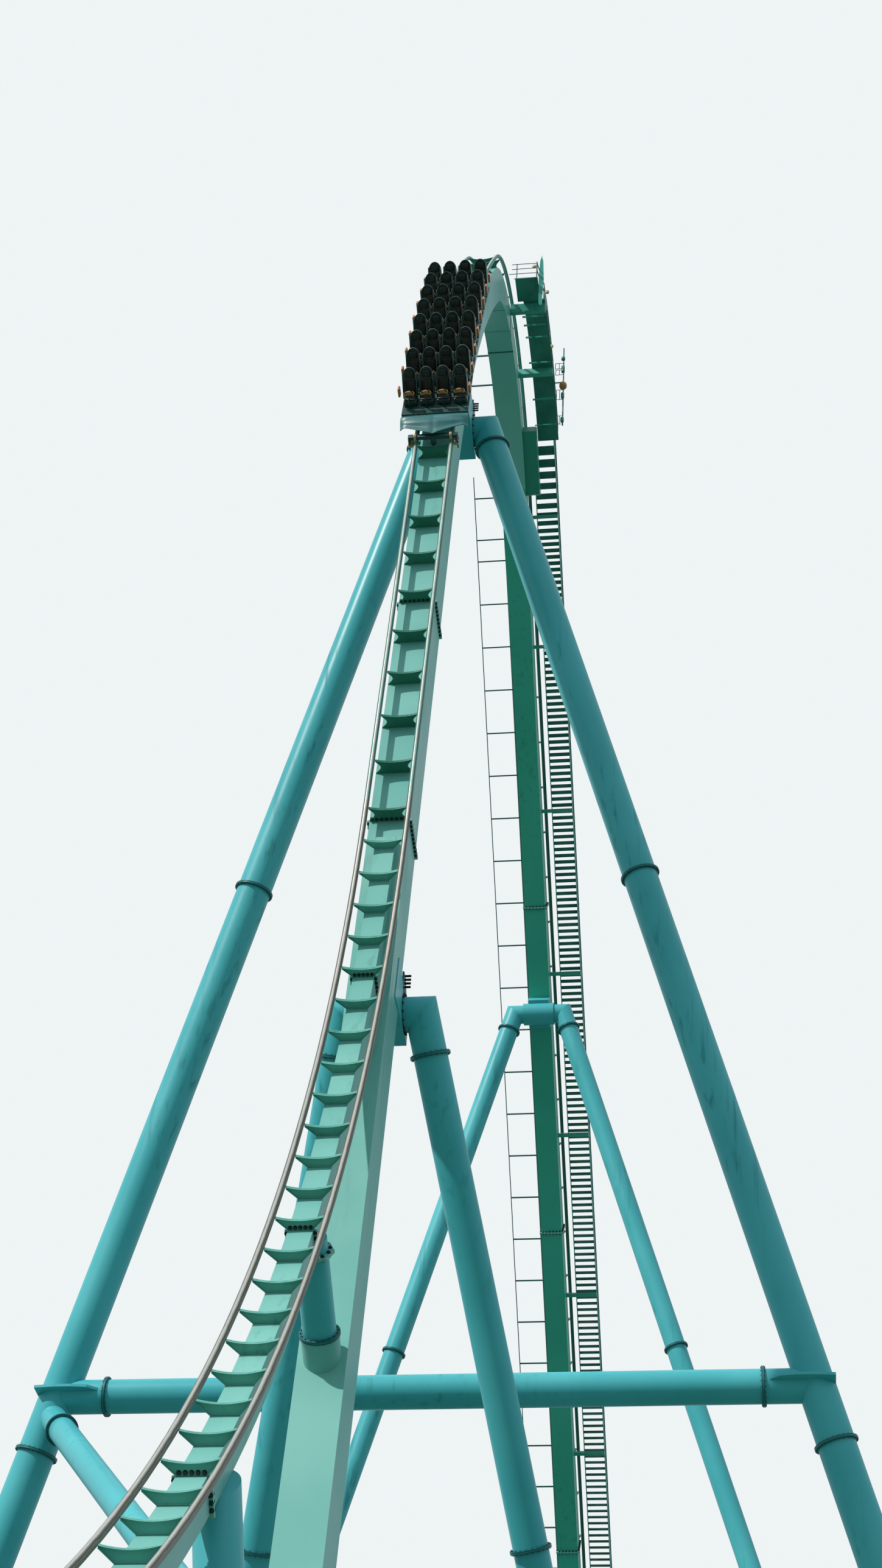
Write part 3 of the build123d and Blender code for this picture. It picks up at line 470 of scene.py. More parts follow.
def copies(pattern: Piece, places: Iterable[Matrix]) -> Piece:
    """Copies a pattern to many places as one piece, each copy with its own mesh.

    Args:
        pattern: The piece that is copied, and then taken away.
        places: Where the copies go.

    Returns:
        The joined copies.
    """
    made = []
    for matrix in places:
        piece = pattern.copy()
        piece.data = pattern.data.copy()
        piece.data.transform(matrix)
        bpy.context.collection.objects.link(piece)
        made.append(piece)
    bpy.data.objects.remove(pattern)
    return joined(made)


def joined(pieces: Sequence[Piece]) -> Piece:
    """Joins pieces.

    Args:
        pieces: The pieces, at least one.

    Returns:
        The first of them, which now holds them all.
    """
    clear_selection()
    for piece in pieces:
        piece.select_set(True)
    bpy.context.view_layer.objects.active = pieces[0]
    if len(pieces) > 1:
        bpy.ops.object.join()
    return bpy.context.object


def dress(piece: Piece, finish: Material) -> None:
    """Gives a piece one finish all over.

    Args:
        piece: The piece.
        finish: Its material.
    """
    piece.data.materials.clear()
    piece.data.materials.append(finish)
    for face in piece.data.polygons:
        face.material_index = 0


def keep(piece: Piece, name: str, finish: Material, slot: Slot, *nodes: str) -> None:
    """Names a finished piece, dresses it and hands it to the frame.

    Args:
        piece: The finished piece.
        name: Its name.
        finish: Its material.
        slot: The record's slot of that material; not used.
        nodes: The CAD nodes that it stands for, if any.
    """
    piece.name = name
    piece.data.name = name
    dress(piece, finish)
    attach(piece, "root")
    if nodes:
        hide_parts(*nodes)
    LOG.info("%s: %d faces", name, len(piece.data.polygons))


# Shader groups and finishes


class Shade:
    """A small helper that adds and joins nodes of one tree."""

    def __init__(self, tree: bpy.types.NodeTree) -> None:
        """Keeps the tree."""
        self.tree = tree

    def add(self, kind: str, links: dict | None = None, **settings: object) -> bpy.types.Node:
        """Adds a node.

        Args:
            kind: The node's type name without its ShaderNode.
            links: Its inputs by name or number, each a socket to join or a value to set.
            settings: Its properties.

        Returns:
            The node.
        """
        node = self.tree.nodes.new("ShaderNode" + kind)
        for name, value in settings.items():
            setattr(node, name, value)
        self.join(node, links or {})
        return node

    def join(self, node: bpy.types.Node, links: dict) -> None:
        """Fills a node's inputs.

        Args:
            node: The node.
            links: Its inputs by name or number, each a socket to join or a value to set.
        """
        for name, value in links.items():
            if isinstance(value, Socket):
                self.tree.links.new(value, node.inputs[name])
            else:
                node.inputs[name].default_value = value

    def noise(self, place: Socket, scale: float, detail: float = 4.0) -> Socket:
        """A noise pattern's value."""
        return self.add("TexNoise", {"Vector": place, "Scale": scale, "Detail": detail}).outputs["Fac"]

    def grain(self, place: Socket, stretch: Place, detail: float) -> Socket:
        """A noise pattern's value, stretched along the axes."""
        placed = self.add("Mapping", {"Vector": place, "Scale": stretch}).outputs["Vector"]
        return self.noise(placed, 1.0, detail)

    def math(self, operation: str, a: Socket | float, b: Socket | float = 0.0) -> Socket:
        """A sum, product or other operation on two values."""
        return self.add("Math", {0: a, 1: b}, operation=operation).outputs[0]

    def times(self, a: Socket | float, b: Socket | float) -> Socket:
        """A product of two values."""
        return self.math("MULTIPLY", a, b)

    def step(self, value: Socket, levels: Point, to: Point = (0.0, 1.0)) -> Socket:
        """Steps a value smoothly between two levels.

        Args:
            value: The value.
            levels: Where the step begins and ends.
            to: What it gives at either end.

        Returns:
            The stepped value.
        """
        links = {"Value": value, "From Min": levels[0], "From Max": levels[1],
                 "To Min": to[0], "To Max": to[1]}
        return self.add("MapRange", links, interpolation_type="SMOOTHSTEP").outputs["Result"]

    def mix(self, share: Socket | float, a: Socket | Sequence[float], b: Socket | Sequence[float]) -> Socket:
        """A mix of two colours, whose sockets stand behind those for plain values."""
        return self.add("Mix", {0: share, 6: a, 7: b}, data_type="RGBA").outputs[2]


def open_group(name: str, colours: Sequence[str],
               values: Sequence[str] = ()) -> tuple[Shade, bpy.types.NodeOutputs]:
    """Starts a shader group that turns a place and colours into a colour, a roughness and a height.

    Args:
        name: The group's name.
        colours: The names of its colour inputs.
        values: The names of its plain inputs.

    Returns:
        A helper to fill the group, and its inputs.
    """
    group = bpy.data.node_groups.new(name, "ShaderNodeTree")
    sockets = [("INPUT", "Place", "Vector"), *(("INPUT", label, "Color") for label in colours),
               *(("INPUT", label, "Float") for label in values),
               ("OUTPUT", "Colour", "Color"), ("OUTPUT", "Roughness", "Float"), ("OUTPUT", "Height", "Float")]
    for side, label, kind in sockets:
        group.interface.new_socket(name=label, in_out=side, socket_type="NodeSocket" + kind)
    return Shade(group), group.nodes.new("NodeGroupInput").outputs


def close_group(shade: Shade, tint: Socket, rough: Socket, height: Socket) -> None:
    """Joins what a shader group puts out."""
    end = shade.tree.nodes.new("NodeGroupOutput")
    shade.join(end, {"Colour": tint, "Roughness": rough, "Height": height})


@dataclass(frozen=True)
class WeatheredPaint:
    """Group for brushed-on paint outdoors: patches, rain streaks, specks and a fine orange peel."""
    name: str = "weathered_paint"
    fine: float = 2.0
    patch_scale: float = 2.2
    patch_levels: Point = (0.35, 0.7)
    streak_stretch: Place = (46.0, 46.0, 1.6)
    streak_detail: float = 4.0
    streak_levels: Point = (0.52, 0.78)
    drift_scale: float = 0.9
    drift_levels: Point = (0.4, 0.65)
    speck_scale: float = 160.0
    speck_levels: Point = (0.72, 0.8)
    speck_cover: float = 0.35
    roughness: Point = (0.34, 0.46)
    grime_roughness: float = 0.3
    peel: tuple[Point, Point] = ((420.0, 0.35), (30.0, 0.65))

    def build(self) -> None:
        """Makes the group."""
        shade, source = open_group(self.name, ("Colour", "Faded", "Grime"), ("Streaks",))
        place = source["Place"]
        patch = shade.step(shade.noise(place, self.patch_scale), self.patch_levels)
        tint = shade.mix(patch, source["Colour"], source["Faded"])
        runs = shade.step(shade.grain(place, self.streak_stretch, self.streak_detail), self.streak_levels)
        drift = shade.step(shade.noise(place, self.drift_scale, self.fine), self.drift_levels)
        mask = shade.times(shade.times(runs, drift), source["Streaks"])
        specks = shade.step(shade.noise(place, self.speck_scale, self.fine), self.speck_levels)
        mask = shade.math("MAXIMUM", mask, shade.times(specks, self.speck_cover))
        tint = shade.mix(mask, tint, source["Grime"])
        rough = shade.math("ADD", shade.step(patch, (0.0, 1.0), self.roughness),
                           shade.times(mask, self.grime_roughness))
        grain, waves = (shade.times(shade.noise(place, scale, self.fine), share)
                        for scale, share in self.peel)
        close_group(shade, tint, rough, shade.math("ADD", grain, waves))


@dataclass(frozen=True)
class WornMetal:
    """Group for bare or galvanised metal: spangle, scuffs along its length and dull patches."""
    name: str = "worn_metal"
    spangle_scale: float = 240.0
    spangle_levels: Point = (0.1, 0.7)
    spangle_cover: float = 0.35
    patch_scale: float = 9.0
    patch_levels: Point = (0.4, 0.68)
    scuff_stretch: Place = (320.0, 24.0, 24.0)
    scuff_detail: float = 3.0
    roughness: Point = (0.32, 0.55)
    scuff_roughness: float = 0.12

    def build(self) -> None:
        """Makes the group."""
        shade, source = open_group(self.name, ("Colour", "Dull"))
        place = source["Place"]
        cells = shade.add("TexVoronoi", {"Vector": place, "Scale": self.spangle_scale}).outputs["Distance"]
        spangle = shade.step(cells, self.spangle_levels, (0.0, self.spangle_cover))
        patch = shade.step(shade.noise(place, self.patch_scale), self.patch_levels)
        scuffs = shade.grain(place, self.scuff_stretch, self.scuff_detail)
        tint = shade.mix(spangle, source["Colour"], source["Dull"])
        tint = shade.mix(patch, tint, source["Dull"])
        rough = shade.math("ADD", shade.step(patch, (0.0, 1.0), self.roughness),
                           shade.times(scuffs, self.scuff_roughness))
        close_group(shade, tint, rough, scuffs)


@dataclass(frozen=True)
class MouldedGrain:
    """Group for moulded plastic or foam skin: a pebbled grain and scuffed, lighter high spots."""
    name: str = "moulded_grain"
    pebble_scale: float = 900.0
    patch_scale: float = 40.0
    patch_levels: Point = (0.5, 0.75)
    roughness: Point = (0.42, 0.62)

    def build(self) -> None:
        """Makes the group."""
        shade, source = open_group(self.name, ("Colour", "Scuffed"))
        place = source["Place"]
        pebbles = shade.add("TexVoronoi", {"Vector": place, "Scale": self.pebble_scale}, feature="SMOOTH_F1")
        patch = shade.step(shade.noise(place, self.patch_scale), self.patch_levels)
        tint = shade.mix(patch, source["Colour"], source["Scuffed"])
        close_group(shade, tint, shade.step(patch, (0.0, 1.0), self.roughness), pebbles.outputs["Distance"])


def rgba(colour: Place) -> tuple[float, float, float, float]:
    """A colour with full cover."""
    return (*colour, 1.0)


def start_material(name: str) -> tuple[Material, Shade, bpy.types.Node, Socket]:
    """A new material.

    Args:
        name: Its name.

    Returns:
        The material, its helper, its shader and the object coordinates.
    """
    material = bpy.data.materials.new(name)
    material.use_nodes = True
    shade = Shade(material.node_tree)
    shader = material.node_tree.nodes["Principled BSDF"]
    place = shade.add("TexCoord").outputs["Object"]
    return material, shade, shader, place


@dataclass(frozen=True)
class GroupFinish:
    """A finish whose colour, roughness and relief come from one shader group."""
    name: str
    group: str
    colours: dict[str, Place]
    streaks: float | None = None
    metallic: float = 0.0
    coat: float = 0.0
    specular: float = 0.5
    relief: float = 0.3
    relief_height: float = 0.0004

    def material(self) -> Material:
        """Makes the material.

        Returns:
            The finished material.
        """
        material, shade, shader, place = start_material(self.name)
        links = {"Place": place, **{label: rgba(colour) for label, colour in self.colours.items()}}
        if self.streaks is not None:
            links["Streaks"] = self.streaks
        node = shade.add("Group", links, node_tree=bpy.data.node_groups[self.group])
        bump = shade.add("Bump", {"Height": node.outputs["Height"], "Strength": self.relief,
                                  "Distance": self.relief_height})
        shade.join(shader, {
            "Base Color": node.outputs["Colour"], "Roughness": node.outputs["Roughness"],
            "Normal": bump.outputs["Normal"], "Metallic": self.metallic, "Coat Weight": self.coat,
            "Specular IOR Level": self.specular,
        })
        return material


@dataclass(frozen=True)
class RailFinish:
    """Paint on a running rail, worn bright where the wheels run, with a painted sun highlight on the same
    line, and grease beside.
    """
    name: str
    up: Place
    paint: Place = (0.21, 0.185, 0.15)
    stain: Place = (0.16, 0.12, 0.09)
    grease: Place = (0.02, 0.016, 0.012)
    wear_and_highlight: Place = (0.6, 0.58, 0.53)
    upper_levels: Point = (0.0, 0.25)
    wobble_scale: float = 24.0
    wobble_detail: float = 5.0
    wobble: float = 0.34
    line_levels: Point = (0.42, 0.2)
    grease_inner: Point = (0.5, 0.62)
    grease_outer: Point = (0.86, 0.74)
    grease_cover: float = 0.85
    scratch_stretch: Place = (400.0, 18.0, 18.0)
    scratch_detail: float = 3.0
    stain_scale: float = 14.0
    stain_levels: Point = (0.45, 0.75)
    stain_cover: float = 0.45
    roughness: float = 0.52
    line_polish: float = 0.24
    line_metallic: float = 0.6
    relief: float = 0.25
    relief_height: float = 0.0003

    def material(self) -> Material:
        """Makes the material.

        Returns:
            The finished material.
        """
        material, shade, shader, place = start_material(self.name)
        normal = shade.add("NewGeometry").outputs["Normal"]
        parts = shade.add("SeparateXYZ", {"Vector": normal}).outputs
        facing = shade.add("VectorMath", {0: normal, 1: self.up}, operation="DOT_PRODUCT").outputs["Value"]
        # The line that faces up off the track is made bright and polished: worn steel, and also a painted sun
        # highlight
        upper = shade.step(facing, self.upper_levels)
        wobble = shade.times(shade.noise(place, self.wobble_scale, self.wobble_detail), self.wobble)
        across = shade.math("ADD", shade.math("ABSOLUTE", parts["X"]), wobble)
        across = shade.math("SUBTRACT", across, self.wobble / 2)
        line = shade.times(shade.step(across, self.line_levels), upper)
        band = shade.times(shade.step(across, self.grease_inner), shade.step(across, self.grease_outer))
        scratch = shade.grain(place, self.scratch_stretch, self.scratch_detail)
        stain = shade.step(shade.noise(place, self.stain_scale), self.stain_levels, (0.0, self.stain_cover))
        tint = shade.mix(stain, rgba(self.paint), rgba(self.stain))
        tint = shade.mix(shade.times(band, self.grease_cover), tint, rgba(self.grease))
        tint = shade.mix(line, tint, rgba(self.wear_and_highlight))
        rough = shade.math("SUBTRACT", self.roughness, shade.times(line, self.line_polish))
        bump = shade.add("Bump", {"Height": scratch, "Strength": self.relief,
                                  "Distance": self.relief_height})
        shade.join(shader, {"Base Color": tint, "Roughness": rough, "Normal": bump.outputs["Normal"],
                            "Metallic": shade.times(line, self.line_metallic)})
        return material


@dataclass(frozen=True)
class GratingFinish:
    """Painted plank or grating: worn metal with a raised anti-slip pattern."""
    name: str
    colour: Place = (0.04, 0.27, 0.2)
    dull: Place = (0.02, 0.17, 0.13)
    rib_scale: float = 60.0
    rib_levels: Point = (0.3, 0.7)
    rib_cover: float = 0.35
    relief: float = 0.5
    relief_height: float = 0.001

    def material(self) -> Material:
        """Makes the material.

        Returns:
            The finished material.
        """
        material, shade, shader, place = start_material(self.name)
        links = {"Place": place, "Colour": rgba(self.colour), "Dull": rgba(self.dull)}
        node = shade.add("Group", links, node_tree=bpy.data.node_groups["worn_metal"])
        bars = shade.add("TexWave", {"Vector": place, "Scale": self.rib_scale, "Distortion": 0.0},
                         bands_direction="X")
        ribs = shade.step(bars.outputs["Fac"], self.rib_levels)
        tint = shade.mix(shade.times(ribs, self.rib_cover), node.outputs["Colour"], rgba(self.dull))
        bump = shade.add("Bump", {"Height": ribs, "Strength": self.relief, "Distance": self.relief_height})
        shade.join(shader, {"Base Color": tint, "Roughness": node.outputs["Roughness"],
                            "Normal": bump.outputs["Normal"]})
        return material


def paint(name: str, colour: Place, faded: Place, grime: Place, streaks: float) -> Material:
    """A weathered paint."""
    colours = {"Colour": colour, "Faded": faded, "Grime": grime}
    return GroupFinish(name, "weathered_paint", colours, streaks, specular=0.25).material()


def metal(name: str, colour: Place, dull: Place, metallic: float = 0.75) -> Material:
    """A worn metal."""
    return GroupFinish(name, "worn_metal", {"Colour": colour, "Dull": dull}, metallic=metallic).material()


def plastic(name: str, colour: Place, scuffed: Place, coat: float = 0.0) -> Material:
    """A moulded plastic or foam."""
    return GroupFinish(name, "moulded_grain", {"Colour": colour, "Scuffed": scuffed}, coat=coat,
                       relief=0.35, relief_height=0.0003).material()


class Finishes:
    """Every finish of the coaster, made once."""

    def __init__(self) -> None:
        """Makes the groups and then the materials."""
        for group in (WeatheredPaint(), WornMetal(), MouldedGrain()):
            group.build()
        self.track = paint("track_mint", (0.19, 0.5, 0.45), (0.235, 0.56, 0.5), (0.08, 0.28, 0.23), 0.5)
        self.tie = paint("tie_mint", (0.13, 0.43, 0.36), (0.17, 0.5, 0.42), (0.04, 0.2, 0.16), 0.6)
        # The crest's ties take a dark green: painted shade on webs that face down, away from the light
        self.shaded_wide_tie = paint("tie_painted_shade_green", (0.035, 0.2, 0.14), (0.05, 0.25, 0.18), (0.015, 0.1, 0.07), 0.5)
        # The lift has the track's own paint; this greener, more saturated colour paints the shade and green
        # reflected light on its undersides
        self.lift = paint("lift_green_painted_shade", (0.06, 0.47, 0.35), (0.08, 0.53, 0.4), (0.025, 0.22, 0.16), 0.6)
        self.support = paint("support_teal", (0.07, 0.45, 0.5), (0.1, 0.52, 0.57), (0.02, 0.2, 0.22), 0.7)
        self.stair = paint("stair_mint", (0.08, 0.4, 0.32), (0.11, 0.46, 0.37), (0.03, 0.2, 0.15), 0.6)
        self.housing = paint("housing_green", (0.03, 0.26, 0.18), (0.045, 0.31, 0.22),
                             (0.012, 0.1, 0.08), 0.8)
        self.base = paint("base_teal", (0.05, 0.3, 0.33), (0.08, 0.34, 0.37), (0.16, 0.15, 0.12), 0.9)
        # The flanges' teal is darker than the support paint: partly their own tone, partly painted shade of
        # rings in shadow
        self.ring = paint("flange_teal_painted_shade", (0.016, 0.12, 0.13), (0.024, 0.15, 0.16), (0.008, 0.04, 0.045), 0.8)
        self.dark_tube = paint("walkway_dark", (0.03, 0.13, 0.13), (0.045, 0.17, 0.17),
                               (0.02, 0.06, 0.06), 0.5)
        self.frame = paint("car_green", (0.025, 0.07, 0.065), (0.035, 0.09, 0.085), (0.012, 0.02, 0.02), 0.8)
        self.bolt = metal("bolt_dark", (0.03, 0.04, 0.04), (0.015, 0.02, 0.02), 0.4)
        self.tube = metal("galvanised", (0.42, 0.45, 0.45), (0.26, 0.29, 0.29))
        self.trough = metal("greased_steel", (0.16, 0.16, 0.15), (0.05, 0.045, 0.04))
        self.grating = GratingFinish("stair_plank").material()
        self.seat = plastic("seat_green", (0.012, 0.045, 0.038), (0.03, 0.075, 0.065), 0.25)
        self.cushion = plastic("seat_pad_black", (0.012, 0.014, 0.015), (0.03, 0.032, 0.034))
        self.bar = plastic("lap_pad_tan", (0.52, 0.2, 0.06), (0.6, 0.28, 0.11), 0.1)
        self.wheel = plastic("wheel_amber", (0.5, 0.36, 0.17), (0.6, 0.47, 0.27), 0.3)
        self.nose = GroupFinish(
            "nose_teal", "weathered_paint",
            {"Colour": (0.018, 0.135, 0.145), "Faded": (0.04, 0.2, 0.205), "Grime": (0.01, 0.05, 0.06)},
            0.6, coat=0.05, relief=0.15).material()
        self.lamp = GroupFinish(
            "lamp_glass", "moulded_grain", {"Colour": (0.75, 0.55, 0.25), "Scuffed": (0.85, 0.72, 0.45)},
            coat=0.6).material()
        self.rails = {
            "pull_out_rails": RailFinish("rail_pull_out", (0.0, -0.7, 0.7)).material(),
            "crest_rails": RailFinish("rail_crest", (0.0, -0.94, 0.34), paint=(0.1, 0.33, 0.28)).material(),
            "lift_rails": RailFinish("rail_lift", (0.0, 0.7, 0.7), paint=(0.045, 0.19, 0.14)).material(),
        }


FINISHES = Finishes()


# Sub-assemblies


@dataclass
class CarriedParts:
    """The CAD nodes whose shape is right, in their better finishes."""

    def build(self) -> None:
        """Gives each carried-over node its finish."""
        by_slot = {
            Slot.TRACK: FINISHES.track, Slot.SUPPORT: FINISHES.support, Slot.TUBE: FINISHES.tube,
            Slot.GRATING: FINISHES.grating, Slot.STAIR: FINISHES.stair, Slot.HOUSING: FINISHES.housing,
            Slot.TROUGH: FINISHES.trough, Slot.BASE: FINISHES.base, Slot.SEAT: FINISHES.seat,
            Slot.BAR: FINISHES.bar, Slot.NOSE: FINISHES.nose, Slot.WHEEL: FINISHES.wheel,
            Slot.CAR: FINISHES.frame,
        }
        special = {
            # the lift spine in the greener paint that stands for its shade and reflected green
            **FINISHES.rails, "lift_spine_upper": FINISHES.lift, "lift_spine_lower": FINISHES.lift,
            "walkway_frame": FINISHES.dark_tube, "stair_handrail": FINISHES.dark_tube,
            "crest_railing": FINISHES.dark_tube, "instrument_mast": FINISHES.dark_tube,
        }
        for row in frame["record"]["subparts"]:
            finish = special.get(row["node"]) or by_slot[Slot(row["material_slot"])]
            dress(frame["nodes"][row["node"]], finish)
            LOG.info("%s carried over in %s", row["node"], finish.name)


@dataclass
class CrossTies:
    """The cross-ties between the rails, each a web with a rolled top edge."""
    thickness: float = 3.0
    web_edge: float = 0.4
    sag: float = 7.5
    top_steps: int = 8
    lip: float = 5.0
    bite: float = 15.0
    bite_power: float = 1.3
    side_steps: int = 10
    flange_width: float = 9.0
    flange_thickness: float = 1.8
    flange_edge: float = 0.3
    weld_height: float = 2.2
    weld_proud: float = 1.5
    weld_edge: float = 0.9
    strip_width: float = 1.6
    strip_rise: float = 1.0
    strip_inset: float = 0.5
    end_clear: float = 40.0
    taper: float = 900.0

    def places(self, start: float, end: float, pitch: float, anchor: float | None = None) -> list[float]:
        """Sets out the ties of a stretch, as in the part's source.

        Args:
            start: Where the stretch begins along the track.
            end: Where it ends.
            pitch: The distance between its ties.
            anchor: Where one of them stands, or nothing to centre them.

        Returns:
            Where they stand along the track.
        """
        if anchor is None:
            count = int((end - start - 2 * self.end_clear) // pitch)
            anchor = start + (end - start - count * pitch) / 2
        first = anchor - int((anchor - start - self.end_clear) // pitch) * pitch
        count = int((end - self.end_clear - first) // pitch)
        return [first + i * pitch for i in range(count + 1)]

    def tie(self, spine: Spine, bite: float) -> Piece:
        """One tie across the track, with its web, top flange and foot.

        Args:
            spine: The spine that it stands on.
            bite: How deep its sides are cut in, or 0 for straight wings.

        Returns:
            The tie in its own frame: X across, Y up off the track.
        """
        half = TRACK.gauge / 2 - TRACK.rail_radius - TRACK.seat
        foot, low = spine.width / 2 - TRACK.seat, -spine.face + TRACK.seat
        shares = (2 * i / self.top_steps - 1 for i in range(self.top_steps + 1))
        top = [(half * t, -self.sag * (1 - t * t)) for t in shares]
        side = []
        if bite:
            for t in (i / self.side_steps for i in range(1, self.side_steps)):
                x = half + (foot - half) * t - bite * math.sin(math.pi * t) ** self.bite_power
                side.append((x, -self.lip + (low + self.lip) * t))
        outline = [*top, (half, -self.lip), *side, (foot, low), (-foot, low),
                   *[(-x, y) for x, y in reversed(side)], (-half, -self.lip)]
        band = [*top, *[(x, y - self.flange_thickness) for x, y in reversed(top)]]
        weld = [(-foot, low), (foot, low), (foot, low + self.weld_height), (-foot, low + self.weld_height)]
        parts = [
            soften(plate(outline, self.thickness), self.web_edge),
            soften(plate(band, self.flange_width), self.flange_edge),
            soften(plate(weld, self.thickness + 2 * self.weld_proud), self.weld_edge),
        ]
        if not bite:
            for sign in SIDES:
                run = [(sign * half, -self.lip), (sign * foot, low)]
                back = [(x - sign * self.strip_width, y + self.strip_rise) for x, y in reversed(run)]
                parts.append(plate([*run, *back], self.flange_width - 2 * self.strip_inset))
        return joined(parts)

    def build(self) -> None:
        """Builds and places all three kinds of ties."""
        first = TRACK.first_tie
        wide = self.places(first - self.end_clear, TRACK.lift, WIDE.tie_pitch, first)
        narrow = self.places(0, TRACK.drop, NARROW.tie_pitch, first)
        lift = self.places(TRACK.lift + self.taper, TRACK.end, LIFT.tie_pitch)
        for node, alongs, spine, bite, finish in (
            # the crest's ties in the dark green that paints shade on their webs
            ("crest_ties", wide, WIDE, self.bite, FINISHES.shaded_wide_tie),
            ("pull_out_ties", narrow, NARROW, 0.0, FINISHES.tie),
            ("lift_ties", lift, LIFT, 0.0, FINISHES.tie),
        ):
            piece = copies(self.tie(spine, bite), [TRACK.across(along) for along in alongs])
            keep(piece, node + "_formed", finish, Slot.TRACK, node)


@dataclass(frozen=True)
class Bolts:
    """Bolt heads and where they stand; the proportions are shares of a bolt's size."""
    washer_radius: float = 0.72
    washer_height: float = 0.16
    washer_sides: int = 10
    nut_sides: int = 6
    nut_radius: float = 0.55
    nut_height: float = 0.5
    nut_middle: float = 0.4
    crown_inset: float = 0.14
    crown_rise: float = 0.1

    def head(self, size: float) -> Piece:
        """Models one bolt head.

        Args:
            size: The bolt's size.

        Returns:
            A hexagon head on its washer, standing on its own Z.
        """
        washer = drum(size * self.washer_radius, size * self.washer_height, self.washer_sides)
        moved(washer, shift(0, 0, size * self.washer_height / 2))
        nut = drum(size * self.nut_radius, size * self.nut_height, self.nut_sides)
        moved(nut, shift(0, 0, size * self.nut_middle))
        pick(nut, top_face)
        bpy.ops.mesh.inset(thickness=size * self.crown_inset * MM)
        bpy.ops.transform.translate(value=(0, 0, size * self.crown_rise * MM))
        bpy.ops.object.mode_set(mode="OBJECT")
        return joined([washer, nut])

    def ring(self, flange: Matrix, radius: float, count: int, reach: float) -> list[Matrix]:
        """Places for bolts on both faces of a flange.

        Args:
            flange: The flange's frame, with its Z along the pipe.
            radius: The bolt circle's radius.
            count: How many bolts it has.
            reach: How far the bolts' seats are from the flange's middle.

        Returns:
            The places, both ways round.
        """
        places = []
        for i in range(count):
            spot = Matrix.Rotation(2 * math.pi * (i + 0.5) / count, 4, "Z") @ shift(radius, 0, reach)
            places += [flange @ spot, flange @ Matrix.Rotation(math.pi, 4, "X") @ spot]
        return places


BOLTS = Bolts()


def run_between(start: Place, end: Place) -> float:
    """The distance between two points."""
    return (Vector(end) - Vector(start)).length


@dataclass(frozen=True)
class Pipe:
    """A straight run of pipe with its bolted flanges at shares of its length."""
    name: str
    start: Place
    end: Place
    diameter: float
    shares: tuple[float, ...]
    bolts: int

    def point(self, share: float) -> Place:
        """The point at a share of its length."""
        return tuple(Vector(self.start).lerp(Vector(self.end), share))

    def frame(self, share: float) -> Matrix:
        """A frame at a share of its length.

        Args:
            share: The share, 0 at its start.

        Returns:
            The frame in metres, with its Z along the pipe.
        """
        z = (Vector(self.end) - Vector(self.start)).normalized()
        x = Vector(UP).cross(z)
        return frame_of(self.point(share), tuple(x), tuple(z.cross(x)))


